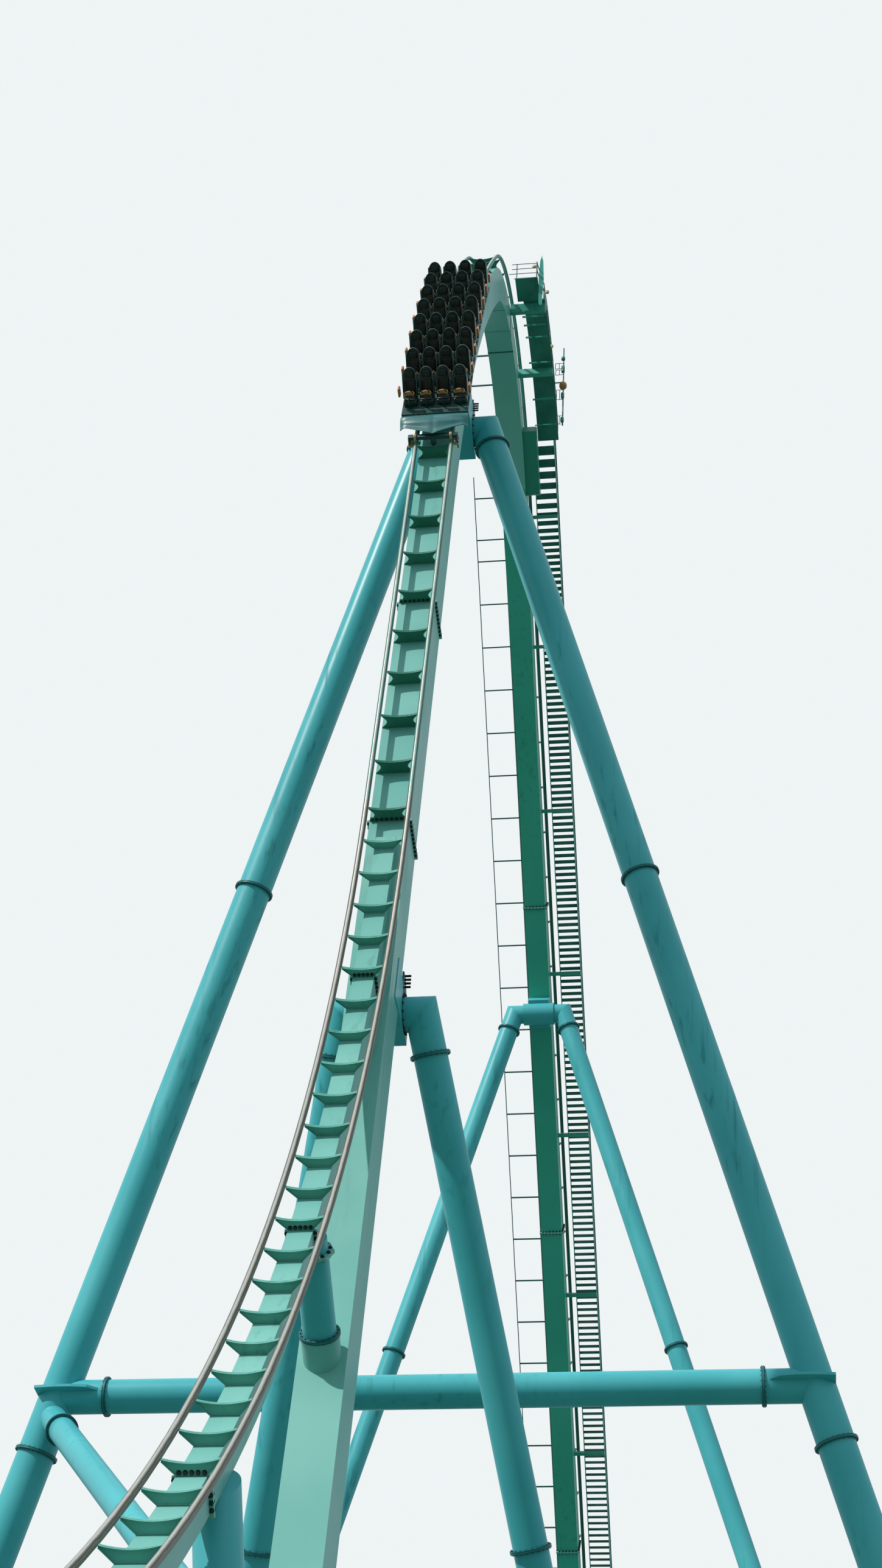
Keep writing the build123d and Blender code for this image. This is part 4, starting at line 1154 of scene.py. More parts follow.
@dataclass
class Flanges:
    """The bolted flange pairs of the legs, the crossbar, the brace and the strut."""
    proud: float = 8.6
    ring_thickness: float = 4.0
    ring_edge: Edge = (0.6, 2)
    ring_sides: int = 40
    gap: float = 0.8
    joint_inset: float = 1.2
    joint_edge: float = 0.2
    bolt: float = 3.4
    front_height: float = 7070.0
    front_elbow: float = 103.0
    front_back: float = 232.0
    front_foot: Point = (2092.0, 2579.0)
    front_tube: float = 110.0
    front_rings: tuple[float, ...] = (0.0115, 0.2653, 0.525, 0.78)
    front_bolts: int = 24
    rear_height: float = 3998.0
    rear_elbow: float = 104.0
    rear_back: float = 152.0
    rear_foot: Point = (950.0, 3207.0)
    rear_tube: float = 91.0
    rear_rings: tuple[float, ...] = (0.0238, 0.2937, 0.5624, 0.828)
    rear_bolts: int = 20
    frame_heights: tuple[float, ...] = (6824.0, 4850.0, 2974.0, 1300.0)
    header_half: float = 112.0
    header_under: float = 239.0
    splay: float = 0.2928
    lean: float = 0.0687
    frame_tube: float = 84.0
    frame_first_ring: float = 86.0
    frame_rings: tuple[float, ...] = (0.24, 0.47, 0.7)
    frame_bolts: int = 16
    crossbar_height: float = 3524.0
    crossbar_collar: float = 148.0
    crossbar_tube: float = 99.0
    crossbar_bolts: int = 20
    brace_head: float = 3470.0
    brace_foot: float = 2006.0
    brace_tube: float = 78.0
    brace_ring: float = 0.075
    brace_bolts: int = 16
    strut_tie: float = 12.4
    strut_drop: float = 190.0
    strut_reach: float = 130.0
    strut_tube: float = 75.0
    strut_bolts: int = 18
    halvings: int = 50

    def height_along(self, start: float, end: float, height: float, under: float) -> float:
        """Finds where a line beside the track has a height, by halving.

        Args:
            start: Where the search begins along the track.
            end: Where it ends.
            height: The height.
            under: How far the line lies under the rail centres.

        Returns:
            The place along the track.
        """
        rising = TRACK.at(end).offset(under)[1] > TRACK.at(start).offset(under)[1]
        low, high = start, end
        for _ in range(self.halvings):
            middle = (low + high) / 2
            if (TRACK.at(middle).offset(under)[1] < height) == rising:
                low = middle
            else:
                high = middle
        return low

    def stub_lines(self) -> Point:
        """Finds where the legs' stubs run, behind the wide spine.

        Returns:
            The Y of the front and of the rear legs' stubs.
        """
        along = self.height_along(TRACK.ease, TRACK.crest, self.front_height, TRACK.wide_centre)
        front_y = TRACK.at(along).offset(TRACK.wide_centre)[0] + self.front_back
        return front_y, TRACK.column_y(self.rear_height) + self.rear_back

    def leg_runs(self, sign: int, side: str) -> list[Pipe]:
        """Sets out the legs of one side.

        Args:
            sign: 1 for the side at +X and -1 for the other.
            side: The side's name.

        Returns:
            The front leg, the rear leg and the legs of the lift's frames.
        """
        front_y, rear_y = self.stub_lines()
        runs = [
            Pipe(f"front_{side}", (sign * self.front_elbow, front_y, self.front_height),
                 (sign * self.front_foot[0], self.front_foot[1], 0.0), self.front_tube, self.front_rings,
                 self.front_bolts),
            Pipe(f"rear_{side}", (sign * self.rear_elbow, rear_y, self.rear_height),
                 (sign * self.rear_foot[0], self.rear_foot[1], 0.0), self.rear_tube, self.rear_rings,
                 self.rear_bolts),
        ]
        for number, height in enumerate(self.frame_heights, 1):
            along = self.height_along(TRACK.lift, TRACK.entry, height, self.header_under)
            y, z = TRACK.at(along).offset(self.header_under)
            head = (sign * self.header_half, y, z)
            foot = (sign * (self.header_half + z * self.splay), y + z * self.lean, 0.0)
            rings = (self.frame_first_ring / run_between(head, foot), *self.frame_rings)
            runs.append(Pipe(f"frame_{number}_{side}", head, foot, self.frame_tube, rings, self.frame_bolts))
        return runs

    def cross_runs(self, right: Pipe, left: Pipe) -> list[Pipe]:
        """Sets out what spans between the legs, the column and the pull-out.

        Args:
            right: The right front leg.
            left: The left front leg.

        Returns:
            The crossbar, the brace and the strut.
        """
        near = right.point(1 - self.crossbar_height / self.front_height)
        inset = self.crossbar_collar / (2 * near[0])
        head = left.point(1 - self.brace_head / self.front_height)
        foot = (-WIDE.width / 2, TRACK.column_y(self.brace_foot), self.brace_foot)
        top = (0.0, *TRACK.at(TRACK.first_tie - self.strut_tie * NARROW.tie_pitch).offset(NARROW.underside))
        seat = (0.0, TRACK.column_y(top[2] - self.strut_drop), top[2] - self.strut_drop)
        last = 1 - self.strut_reach / run_between(top, seat)
        return [
            Pipe("crossbar", (-near[0], near[1], near[2]), near, self.crossbar_tube, (inset, 1 - inset),
                 self.crossbar_bolts),
            Pipe("brace", head, foot, self.brace_tube, (self.brace_ring,), self.brace_bolts),
            Pipe("strut", top, seat, self.strut_tube, (last,), self.strut_bolts),
        ]

    def pipes(self) -> list[Pipe]:
        """Every pipe run that has flanges, the strut last."""
        right, left = self.leg_runs(1, "right"), self.leg_runs(-1, "left")
        return [*right, *left, *self.cross_runs(right[0], left[0])]

    def pair(self, radius: float) -> Piece:
        """Models one flange pair.

        Args:
            radius: The pipe's radius.

        Returns:
            Two flange discs with a joint between them, on their own Z.
        """
        outer = radius + self.proud
        discs = []
        for sign in SIDES:
            disc = soften(drum(outer, self.ring_thickness, self.ring_sides), *self.ring_edge)
            discs.append(moved(disc, shift(0, 0, sign * (self.gap + self.ring_thickness) / 2)))
        joint = drum(outer - self.joint_inset, 2 * self.gap, self.ring_sides)
        return smooth(joined([*discs, soften(joint, self.joint_edge)]), Shading.PLATE)

    def build(self) -> None:
        """Builds the flange pairs and their bolts."""
        rings, bolts = [], []
        for pipe in self.pipes():
            places = [pipe.frame(share) for share in pipe.shares]
            rings.append(copies(self.pair(pipe.diameter / 2), places))
            for place in places:
                bolts += BOLTS.ring(place, (pipe.diameter + self.proud) / 2, pipe.bolts,
                                    self.ring_thickness + self.gap / 2)
        # flanges and their bolts in the darker teal that is partly painted shade
        keep(joined(rings), "pipe_flanges", FINISHES.ring, Slot.SUPPORT)
        keep(copies(BOLTS.head(self.bolt), bolts), "pipe_flange_bolts", FINISHES.ring, Slot.SUPPORT)


@dataclass
class LegHeads:
    """The bolted end plates where the legs' stubs meet the boxes behind the wide spine."""
    half: float = 58.0
    thickness: float = 5.0
    edge: float = 0.8
    margin: float = 13.0
    rim_points: int = 28
    cut: float = 0.3
    tongue: float = 46.0
    tongue_corner: float = 8.0
    tongue_shares: Place = (0.2, 0.4, 0.86)
    bolt: float = 6.0
    bolt_count: int = 14
    bolt_line: float = 0.55
    studs: int = 4
    stud: Point = (3.4, 18.0)
    stud_sides: int = 8
    stud_edge: float = 0.6
    stud_line: float = 0.6
    stud_first: float = 4.0
    stud_pitch: float = 12.0
    stud_out: float = 8.0

    def outline(self, radius: float) -> list[Point]:
        """Draws a round plate with a tongue that runs up beside the spine.

        Args:
            radius: The stub's radius.

        Returns:
            The plate's corners.
        """
        reach = radius + self.margin
        lower = [spot for spot in circle(reach, self.rim_points) if spot[1] < reach * self.cut]
        right = sorted((spot for spot in lower if spot[0] > 0), key=lambda spot: spot[1])
        left = sorted((spot for spot in lower if spot[0] <= 0), key=lambda spot: -spot[1])
        top = reach + self.tongue
        near, middle, far = (-reach * share for share in self.tongue_shares)
        return [*right, (near, top - self.tongue_corner), (middle, top), (far, top), *left]

    def build(self) -> None:
        """Builds the plates, their bolts and the long studs above them."""
        flanges = Flanges()
        plates, bolts, studs = [], [], []
        for y, height, tube in zip(flanges.stub_lines(), (flanges.front_height, flanges.rear_height),
                                   (flanges.front_tube, flanges.rear_tube)):
            radius = tube / 2
            rise = radius + self.margin
            foot = rise + self.stud_first
            places = []
            for sign in SIDES:
                places.append(frame_of((sign * (self.half - self.thickness / 2), y, height), AHEAD, UP))
                face = frame_of((sign * self.half, y, height), (0, sign, 0), UP)
                bolts += [face @ shift(a, b) for a, b in
                          circle(radius + self.margin * self.bolt_line, self.bolt_count)]
                aside = -sign * rise * self.stud_line
                studs += [face @ shift(aside, foot + self.stud_pitch * i, self.stud_out)
                          for i in range(self.studs)]
            plates.append(copies(soften(plate(self.outline(radius), self.thickness), self.edge), places))
        stud = soften(drum(*self.stud, self.stud_sides), self.stud_edge)
        keep(copies(stud, studs), "leg_head_studs", FINISHES.bolt, Slot.SUPPORT)
        # head plates in the darker flange teal that is partly painted shade
        keep(joined(plates), "leg_head_plates", FINISHES.ring, Slot.SUPPORT)
        keep(copies(BOLTS.head(self.bolt), bolts), "leg_head_bolts", FINISHES.bolt, Slot.SUPPORT)


@dataclass
class Splices:
    """Bolts of the spines' splices: along the foot of the splice tie and around the rings."""
    ring_thickness: float = 8.0
    proud: float = 7.0
    foot_rise: float = 6.0
    column_distances: tuple[float, ...] = (0.0, 1045.0)
    pull_out_numbers: tuple[int, ...] = (5, 13, 21, 29, 37, 45)
    lift_start: float = 1907.0
    lift_pitch: float = 1515.0
    bolt: float = 6.4

    def both_ways(self, along: float, spots: Sequence[Point], reach: float) -> list[Matrix]:
        """Places bolts on both faces of a plate across the track.

        Args:
            along: Where the plate stands along the track.
            spots: Where the bolts are on it.
            reach: How far its faces are from its middle.

        Returns:
            The places, both ways round.
        """
        here = TRACK.across(along)
        turned = here @ Matrix.Rotation(math.pi, 4, "Y")
        return [place for x, y in spots
                for place in (here @ shift(x, y, reach), turned @ shift(-x, y, reach))]

    def bolts_at(self, along: float, spine: Spine) -> list[Matrix]:
        """Places the bolts of one splice: its foot row, then its sides and underside.

        Args:
            along: Where it stands along the track.
            spine: The spine that it joins.

        Returns:
            The bolts' places.
        """
        foot = [(spine.width * ((i + 0.5) / spine.foot_bolts - 0.5), -spine.face + self.foot_rise)
                for i in range(spine.foot_bolts)]
        rows = int(spine.depth // spine.bolt_step)
        levels = (-spine.face - spine.depth * (i + 0.5) / rows for i in range(rows))
        reach = (spine.width + self.proud) / 2
        ring = [(sign * reach, y) for y in levels for sign in (1, -1)]
        across = int(spine.width // spine.bolt_step)
        ring += [(spine.width * ((i + 0.5) / across - 0.5), -spine.underside - self.proud / 2)
                 for i in range(across)]
        return [*self.both_ways(along, foot, CrossTies().thickness / 2),
                *self.both_ways(along, ring, self.ring_thickness / 2)]

    def build(self) -> None:
        """Builds the splice bolts."""
        spots = [(TRACK.first_tie - number * NARROW.tie_pitch, NARROW) for number in self.pull_out_numbers]
        spots += [(TRACK.first_tie + distance, WIDE) for distance in self.column_distances]
        along = TRACK.lift + self.lift_start
        while along < TRACK.entry:
            spots.append((along, LIFT))
            along += self.lift_pitch
        bolts = [place for spot in spots for place in self.bolts_at(*spot)]
        keep(copies(BOLTS.head(self.bolt), bolts), "splice_bolts", FINISHES.bolt, Slot.TRACK)


@dataclass
class Seats:
    """The train's seats and lap bars, four abreast in each of eight cars."""
    cars: int = 8
    pitch: float = 147.0
    front: float = 172.0
    abreast: int = 4
    seat_pitch: float = 57.0
    floor_top: float = 45.3
    ahead: float = 14.0
    length: float = 58.0
    width: float = 50.0
    base: float = 24.0
    hinge: float = 4.0
    lean: float = 76.0
    back_thickness: float = 9.0
    back_rim: Point = (4.0, 3.0)
    back_edge: Edge = (1.6, 2)
    foot_inset: float = 3.0
    shoulder_inset: float = 1.0
    waist: float = 40.0
    shoulder: float = 78.0
    crown: float = 33.0
    crown_steps: int = 10
    wing: tuple[Point, ...] = ((-2, 14), (16, 30), (30, 62), (34, 92), (27, 92), (8, 58), (-8, 26))
    wing_thickness: float = 3.0
    wing_edge: float = 1.0
    wing_back: float = 26.0
    wing_inset: float = 2.0
    bucket_inset: float = 2.0
    bucket_under: float = 4.0
    bucket_edge: Edge = (5.0, 3)
    squab_front: float = 3.0
    squab_back: float = 12.0
    squab_under: float = 5.0
    squab_over: float = 1.0
    squab_edge: Edge = (2.6, 3)
    pad_inset: float = 6.0
    pad_thickness: float = 6.0
    pad_taper: float = 2.0
    pad_edge: Edge = (2.4, 3)
    pad_out: float = 3.2
    back_pads: tuple[Place, ...] = ((22, 66, 0), (74, 98, 5))
    clamshell: tuple[Point, ...] = ((-18, 3), (-12, 7), (0, 9), (12, 7), (18, 3), (19, -4), (15, -8),
                                    (0, -5), (-15, -8), (-19, -4))
    clamshell_length: float = 15.0
    clamshell_edge: Edge = (3.0, 3)
    clamshell_place: Point = (9.0, 48.0)
    clamshell_tilt: float = 70.0
    stalk: tuple[Point, ...] = ((-6, 0), (-10, 18), (-4, 36), (6, 46))
    stalk_radius: float = 2.8
    grip: tuple[Place, ...] = ((10, 4, 50), (15, -4, 60), (7, -8, 66))
    grip_radius: float = 1.7
    bar_lower: float = 6.0
    rest_low: Place = (-4, -10, 34)
    rest_high: Place = (4, 16, 66)
    rest_out: float = 6.0
    rest_edge: Edge = (3.0, 3)

    def cars_at(self) -> list[Matrix]:
        """The frame of each car on the track."""
        return [TRACK.car(TRACK.ease + self.front + (car + 0.5) * self.pitch) for car in range(self.cars)]

    def seat_places(self, lower: float = 0.0) -> list[Matrix]:
        """Places what every seat has.

        Args:
            lower: How far down the slope from the seat it stands.

        Returns:
            Its place at each seat.
        """
        offsets = [(number - (self.abreast - 1) / 2) * self.seat_pitch for number in range(self.abreast)]
        return [car @ shift(x, self.ahead - lower, self.floor_top)
                for car in self.cars_at() for x in offsets]

    def leaned(self) -> Matrix:
        """The back's frame, which leans away from the rider, its foot forward of its head."""
        return shift(0, self.length / 2 - self.hinge) @ Matrix.Rotation(math.radians(self.lean), 4, "X")

    def shell(self) -> Piece:
        """Models one seat's shell.

        Returns:
            A tall rounded back with a rim, wings and a bucket.
        """
        half, far = self.width / 2, self.length / 2
        foot, shoulder = half - self.foot_inset, half - self.shoulder_inset
        turns = (math.pi * i / self.crown_steps for i in range(1, self.crown_steps))
        outline = [
            (-foot, 0), (foot, 0), (half, self.waist), (shoulder, self.shoulder),
            *[(shoulder * math.cos(a), self.shoulder + self.crown * math.sin(a)) for a in turns],
            (-shoulder, self.shoulder), (-half, self.waist),
        ]
        back = plate(outline, self.back_thickness)
        dish(back, top_face, *self.back_rim)
        moved(soften(back, *self.back_edge), self.leaned())
        wide = half - self.bucket_inset
        bucket = box((-wide, -far, 0), (wide, far - self.hinge, self.base - self.bucket_under))
        soften(bucket, *self.bucket_edge)
        wings = []
        for sign in SIDES:
            turn = frame_of((sign * (half - self.wing_inset), far - self.wing_back, 0), AHEAD, UP)
            wings.append(moved(soften(plate(self.wing, self.wing_thickness), self.wing_edge), turn))
        return smooth(joined([back, bucket, *wings]), Shading.FORMED)

    def pads(self) -> Piece:
        """Models one seat's cushions.

        Returns:
            The squab, the back pad and the headrest.
        """
        half, far = self.width / 2 - self.pad_inset, self.length / 2
        squab = box((-half, self.squab_front - far, self.base - self.squab_under),
                    (half, far - self.squab_back, self.base + self.squab_over))
        pads = [soften(squab, *self.squab_edge)]
        for low, high, inset in self.back_pads:
            wide = half - inset
            top = wide - self.pad_taper
            pad = plate([(-wide, low), (wide, low), (top, high), (-top, high)], self.pad_thickness)
            pads.append(moved(soften(pad, *self.pad_edge), self.leaned() @ shift(0, 0, self.pad_out)))
        return smooth(joined(pads), Shading.PADDED)

    def bar(self) -> tuple[Piece, Piece]:
        """Models one lap bar.

        Returns:
            Its padded clamshell, and its dark stalk with the grips.
        """
        reach = -self.length / 2
        pad = soften(plate(self.clamshell, self.clamshell_length), *self.clamshell_edge)
        y, z = self.clamshell_place
        moved(pad, shift(0, reach + y, z) @ Matrix.Rotation(math.radians(self.clamshell_tilt), 4, "X"))
        stalk = rod([(0, reach + y, z) for y, z in self.stalk], self.stalk_radius)
        grips = [rod([(sign * x, reach + y, z) for x, y, z in self.grip], self.grip_radius)
                 for sign in SIDES]
        return smooth(pad, Shading.PADDED), joined([stalk, *grips])

    def build(self) -> None:
        """Builds the seats, their pads, the lap bars and the pads at the cars' sides."""
        keep(copies(self.shell(), self.seat_places()), "train_seat_shells", FINISHES.seat, Slot.SEAT,
             "train_seats")
        keep(copies(self.pads(), self.seat_places()), "train_seat_pads", FINISHES.cushion, Slot.SEAT)
        pad, stalk = self.bar()
        places = self.seat_places(self.bar_lower)
        keep(copies(pad, places), "train_lap_pads", FINISHES.bar, Slot.BAR, "train_lap_bars")
        keep(copies(stalk, places), "train_lap_stalks", FINISHES.cushion, Slot.BAR)
        reach = self.abreast * self.seat_pitch / 2 + self.rest_out
        rests = [car @ shift(sign * reach, 0, self.floor_top) for car in self.cars_at() for sign in SIDES]
        side = soften(box(self.rest_low, self.rest_high), *self.rest_edge)
        keep(copies(side, rests), "train_side_pads", FINISHES.bar, Slot.BAR)


@dataclass
class TrainNose:
    """The hood over the first car's front, and the beam and hook under it."""
    width: float = 230.0
    reach: float = 122.0
    vee: float = 58.0
    overlap: float = 4.0
    back: float = 42.0
    swell: float = 11.0
    swell_rate: float = 1.25
    droop: float = 3.0
    ribs: tuple[Point, ...] = ((0.18, 4.5), (0.5, 3.5))
    rib_slope: float = 0.3
    rib_width: float = 0.09
    crease: float = 3.5
    crease_width: float = 0.06
    corner_from: float = 0.88
    corner_drop: float = 12.0
    corner_reach: float = 9.0
    shell: float = 3.0
    rows: int = 16
    columns: int = 28
    beam_low: Place = (-84, -118, 14)
    beam_high: Place = (84, -98, 27)
    hook: tuple[Point, ...] = ((-11, 22), (11, 22), (12, 6), (8, -6), (2, -12), (-6, -10), (-9, 0))
    hook_thickness: float = 9.0
    front_edge: Edge = (2.0, 2)
    hook_place: Place = (0, -116, 2)

    def surface(self, u: float, v: float) -> Place:
        """Shapes the hood.

        Args:
            u: The share across it, from -1 to 1.
            v: The share from its back to its lip, from 0 to 1.

        Returns:
            The point of its upper face, in millimetres of the first car's frame.
        """
        across = abs(u)
        corner = max(0.0, across - self.corner_from) / (1 - self.corner_from)
        lip = self.reach - self.vee * across
        y = self.overlap - (lip + self.overlap + self.corner_reach * corner) * v
        z = self.back + self.swell * math.sin(math.pi * min(v * self.swell_rate, 1.0))
        z -= self.droop * across ** 3
        # A raised rib runs from the middle of the back to each outer corner
        for offset, height in self.ribs:
            away = (v - offset - self.rib_slope * across) / self.rib_width
            z += height * math.exp(-away ** 2) * (1 - across ** 4)
        z -= (self.crease * math.exp(-(u / self.crease_width) ** 2) + self.corner_drop * corner) * v
        return u * self.width / 2, y, z

    def hood(self) -> Piece:
        """Models the hood.

        Returns:
            A broad shell with a shallow pointed lip, raised ribs and two corner points.
        """
        clear_selection()
        bpy.ops.mesh.primitive_grid_add(x_subdivisions=self.columns, y_subdivisions=self.rows, size=2)
        piece = bpy.context.object
        for vertex in piece.data.vertices:
            vertex.co = Vector(self.surface(vertex.co.x, (1 - vertex.co.y) / 2)) * MM
        hold(piece)
        wall = piece.modifiers.new("wall", "SOLIDIFY")
        wall.thickness, wall.offset = self.shell * MM, -1.0
        bpy.ops.object.modifier_apply(modifier=wall.name)
        skin = piece.modifiers.new("skin", "SUBSURF")
        skin.levels = skin.render_levels = 1
        bpy.ops.object.modifier_apply(modifier=skin.name)
        bpy.ops.object.shade_smooth()
        return piece

    def front(self) -> Piece:
        """Models what is under the hood.

        Returns:
            A dark beam, with the hook that hangs from its middle.
        """
        beam = soften(box(self.beam_low, self.beam_high), *self.front_edge)
        hook = soften(plate(self.hook, self.hook_thickness), *self.front_edge)
        moved(hook, frame_of(self.hook_place, ACROSS, UP))
        return smooth(joined([beam, hook]), Shading.FORMED)

    def build(self) -> None:
        """Builds the hood and what hangs under it."""
        place = TRACK.car(TRACK.ease + Seats().front)
        keep(moved(self.hood(), place), "train_hood", FINISHES.nose, Slot.NOSE, "train_nose")
        keep(moved(self.front(), place), "train_lead_beam", FINISHES.frame, Slot.CAR)


@dataclass
class Wheels:
    """The train's wheels: one that carries each corner, two beside the rail and one under it."""
    radius: float = 13.0
    tread: float = 9.0
    guide_radius: float = 9.0
    guide_tread: float = 7.0
    guide_spread: float = 14.0
    tread_edge: Edge = (1.0, 2)
    tread_angle: float = 60.0
    hub_rim: float = 0.3
    hub_depth: float = 1.2
    lead: float = 110.0
    cheek_out: float = 4.0
    cheek_thickness: float = 4.0
    cheek_edge: float = 1.0
    cheek: tuple[Point, ...] = ((-22, -14), (-10, -22), (10, -22), (22, -14), (26, 20), (18, 36), (-18, 36),
                                (-26, 20))
    cheek_dish: Point = (5.0, 1.0)
    lead_cheek: tuple[Point, ...] = ((-14, -20), (14, -20), (17, 8), (12, 24), (-12, 24), (-17, 8))

    def wheel(self, radius: float, tread: float) -> Piece:
        """Models one wheel.

        Args:
            radius: Its radius.
            tread: How wide it is.

        Returns:
            The wheel, with a rounded tread and a dished hub, on its own Z.
        """
        piece = drum(radius, tread)
        dish(piece, end_face, radius * self.hub_rim, self.hub_depth)
        return smooth(soften(piece, *self.tread_edge, self.tread_angle), Shading.FORMED)

    def sets(self, cars: Sequence[Matrix]) -> tuple[Piece, Piece, list[Matrix]]:
        """Models and places the wheels of some cars.

        Args:
            cars: The cars' frames.

        Returns:
            The wheels on the rails, the wheels beside and under them, and the places of the cheeks.
        """
        axle = Matrix.Rotation(math.pi / 2, 4, "Y")
        rail, clear = TRACK.gauge / 2, TRACK.rail_radius + TRACK.seat
        out = rail + clear + self.guide_radius
        carrying, guiding, cheeks = [], [], []
        for car in cars:
            for sign in SIDES:
                carrying.append(car @ shift(sign * rail, 0, clear + self.radius) @ axle)
                guiding += [car @ shift(sign * out, end * self.guide_spread) for end in SIDES]
                guiding.append(car @ shift(sign * rail, 0, -clear - self.guide_radius) @ axle)
                cheeks.append(car @ frame_of((sign * (out + self.cheek_out), 0, 0), AHEAD, UP))
        return (copies(self.wheel(self.radius, self.tread), carrying),
                copies(self.wheel(self.guide_radius, self.guide_tread), guiding), cheeks)

    def build(self) -> None:
        """Builds the wheels and the cheeks that carry them."""
        carrying, guiding, cheeks = self.sets(Seats().cars_at())
        keep(carrying, "train_road_wheels", FINISHES.wheel, Slot.WHEEL, "train_wheels")
        keep(guiding, "train_guide_wheels", FINISHES.wheel, Slot.WHEEL)
        cheek = plate(self.cheek, self.cheek_thickness)
        dish(cheek, end_face, *self.cheek_dish)
        soften(cheek, self.cheek_edge)
        keep(copies(cheek, cheeks), "train_bogie_cheeks", FINISHES.frame, Slot.CAR)
        carrying, guiding, cheeks = self.sets([TRACK.car(TRACK.ease + Seats().front - self.lead)])
        keep(joined([carrying, guiding]), "train_lead_wheels", FINISHES.wheel, Slot.WHEEL)
        cheek = soften(plate(self.lead_cheek, self.cheek_thickness), self.cheek_edge)
        keep(copies(cheek, cheeks), "train_lead_cheeks", FINISHES.frame, Slot.CAR)


@dataclass
class CrestDetails:
    """The guard bars, screen, lamps and mast gear beside the crest."""
    landing_y: float = 2256.0
    landing_z: float = 8896.0
    bar_radius: float = 1.6
    bar_lefts: tuple[float, ...] = (84.0, 62.0, 74.0, 74.0)
    bar_right: float = 187.0
    bar_first: float = 3.0
    bar_pitch: float = 33.0
    posts: Point = (96.0, 184.0)
    post_height: float = 104.0
    post_radius: float = 2.0
    screen_outline: tuple[Point, ...] = ((-9, -150), (-3, -168), (5, -160), (11, 20), (7, 140), (0, 174),
                                         (-7, 140), (-12, 10))
    screen_thickness: float = 5.0
    screen_edge: Edge = (1.2, 2)
    screen_dish: Point = (2.0, 0.8)
    screen_level: float = 0.95
    screen_place: Place = (199.0, 2296.0, 8922.0)
    screen_turn: Place = (0.9, 0.3, 0)
    mast_x: float = 249.0
    mast_y: float = 2830.8
    frames: tuple[Place, ...] = ((8971.0, 9007.0, 214.0), (8928.0, 8962.0, 216.0), (8758.0, 8824.0, 222.0),
                                 (8593.0, 8648.0, 224.0))
    wire_past: float = 2.0
    wires: Point = (1.7, 1.4)
    wire_sides: int = 6
    cups: tuple[Place, ...] = ((9040.0, 9.0, 16.0), (8966.0, 8.0, 40.0), (8784.0, 7.5, 34.0),
                               (8620.0, 8.0, 26.0))
    cup_sides: int = 14
    cup_edge: Edge = (2.0, 2)
    globe: float = 17.0
    globe_sides: int = 20
    globe_edge: Edge = (12.0, 5)
    globe_place: Point = (250.4, 8852.0)
    cap: Point = (9.0, 8.0)
    cap_sides: int = 16
    cap_edge: float = 1.5
    cap_rise: float = 19.0
    lamp: Point = (9.0, 11.0)
    lamp_sides: int = 16
    lamp_edge: Edge = (3.15, 3)
    lamp_places: tuple[Place, ...] = ((215.0, 2400.0, 8976.0), (207.8, 2700.0, 8972.0),
                                      (170.5, 2262.0, 8984.0))

    def guard(self) -> Piece:
        """Models the guard across the landing's front.

        Returns:
            Its level bars with their posts.
        """
        bars = []
        for i, left in enumerate(self.bar_lefts):
            z = self.landing_z + self.bar_first + self.bar_pitch * i
            bars.append(rod([(x, self.landing_y, z) for x in (left, self.bar_right)], self.bar_radius))
        for x in self.posts:
            ends = [(x, self.landing_y, self.landing_z + rise) for rise in (0, self.post_height)]
            bars.append(rod(ends, self.post_radius))
        return joined(bars)

    def screen(self) -> Piece:
        """Models the tall screen.

        Returns:
            The tapered screen that stands at the deck's outer edge.
        """
        piece = soften(plate(self.screen_outline, self.screen_thickness), *self.screen_edge)
        dish(piece, lambda face: face.normal.z > self.screen_level, *self.screen_dish)
        return moved(piece, frame_of(self.screen_place, self.screen_turn, UP))

    def brackets(self) -> Piece:
        """Models the wire frames between the railing and the mast.

        Returns:
            The frames, each with an upright in its middle.
        """
        wires = []
        right = self.mast_x + self.wire_past
        for low, high, left in self.frames:
            corners = [(left, low), (right, low), (right, high), (left, high), (left, low)]
            middle = (left + right) / 2
            for path, radius in zip((corners, [(middle, low), (middle, high)]), self.wires):
                wires.append(rod([(x, self.mast_y, z) for x, z in path], radius, self.wire_sides))
        return joined(wires)

    def sensors(self) -> Piece:
        """Models the mast's sensors.

        Returns:
            The cups on the mast.
        """
        cups = []
        for z, radius, height in self.cups:
            cup = soften(drum(radius, height, self.cup_sides), *self.cup_edge)
            cups.append(moved(cup, shift(self.mast_x, self.mast_y, z)))
        return smooth(joined(cups), Shading.FORMED)

    def beacon(self) -> Piece:
        """Models the mast's beacon.

        Returns:
            A ball with its cap.
        """
        ball = soften(drum(self.globe, 2 * self.globe, self.globe_sides), *self.globe_edge)
        cap = soften(drum(*self.cap, self.cap_sides), self.cap_edge)
        moved(cap, shift(0, 0, self.cap_rise))
        x, z = self.globe_place
        return moved(smooth(joined([ball, cap]), Shading.PADDED), shift(x, self.mast_y, z))

    def build(self) -> None:
        """Builds the details of the crest."""
        keep(self.guard(), "crest_guard_bars", FINISHES.dark_tube, Slot.TUBE)
        keep(self.screen(), "crest_screen", FINISHES.stair, Slot.STAIR)
        keep(self.brackets(), "mast_brackets", FINISHES.dark_tube, Slot.TUBE)
        keep(self.sensors(), "mast_sensors", FINISHES.housing, Slot.HOUSING)
        keep(self.beacon(), "mast_beacon", FINISHES.bar, Slot.BAR)
        lamp = smooth(soften(drum(*self.lamp, self.lamp_sides), *self.lamp_edge), Shading.PADDED)
        places = [frame_of(place, ACROSS, UP) for place in self.lamp_places]
        keep(copies(lamp, places), "crest_lamps", FINISHES.lamp, Slot.TUBE)


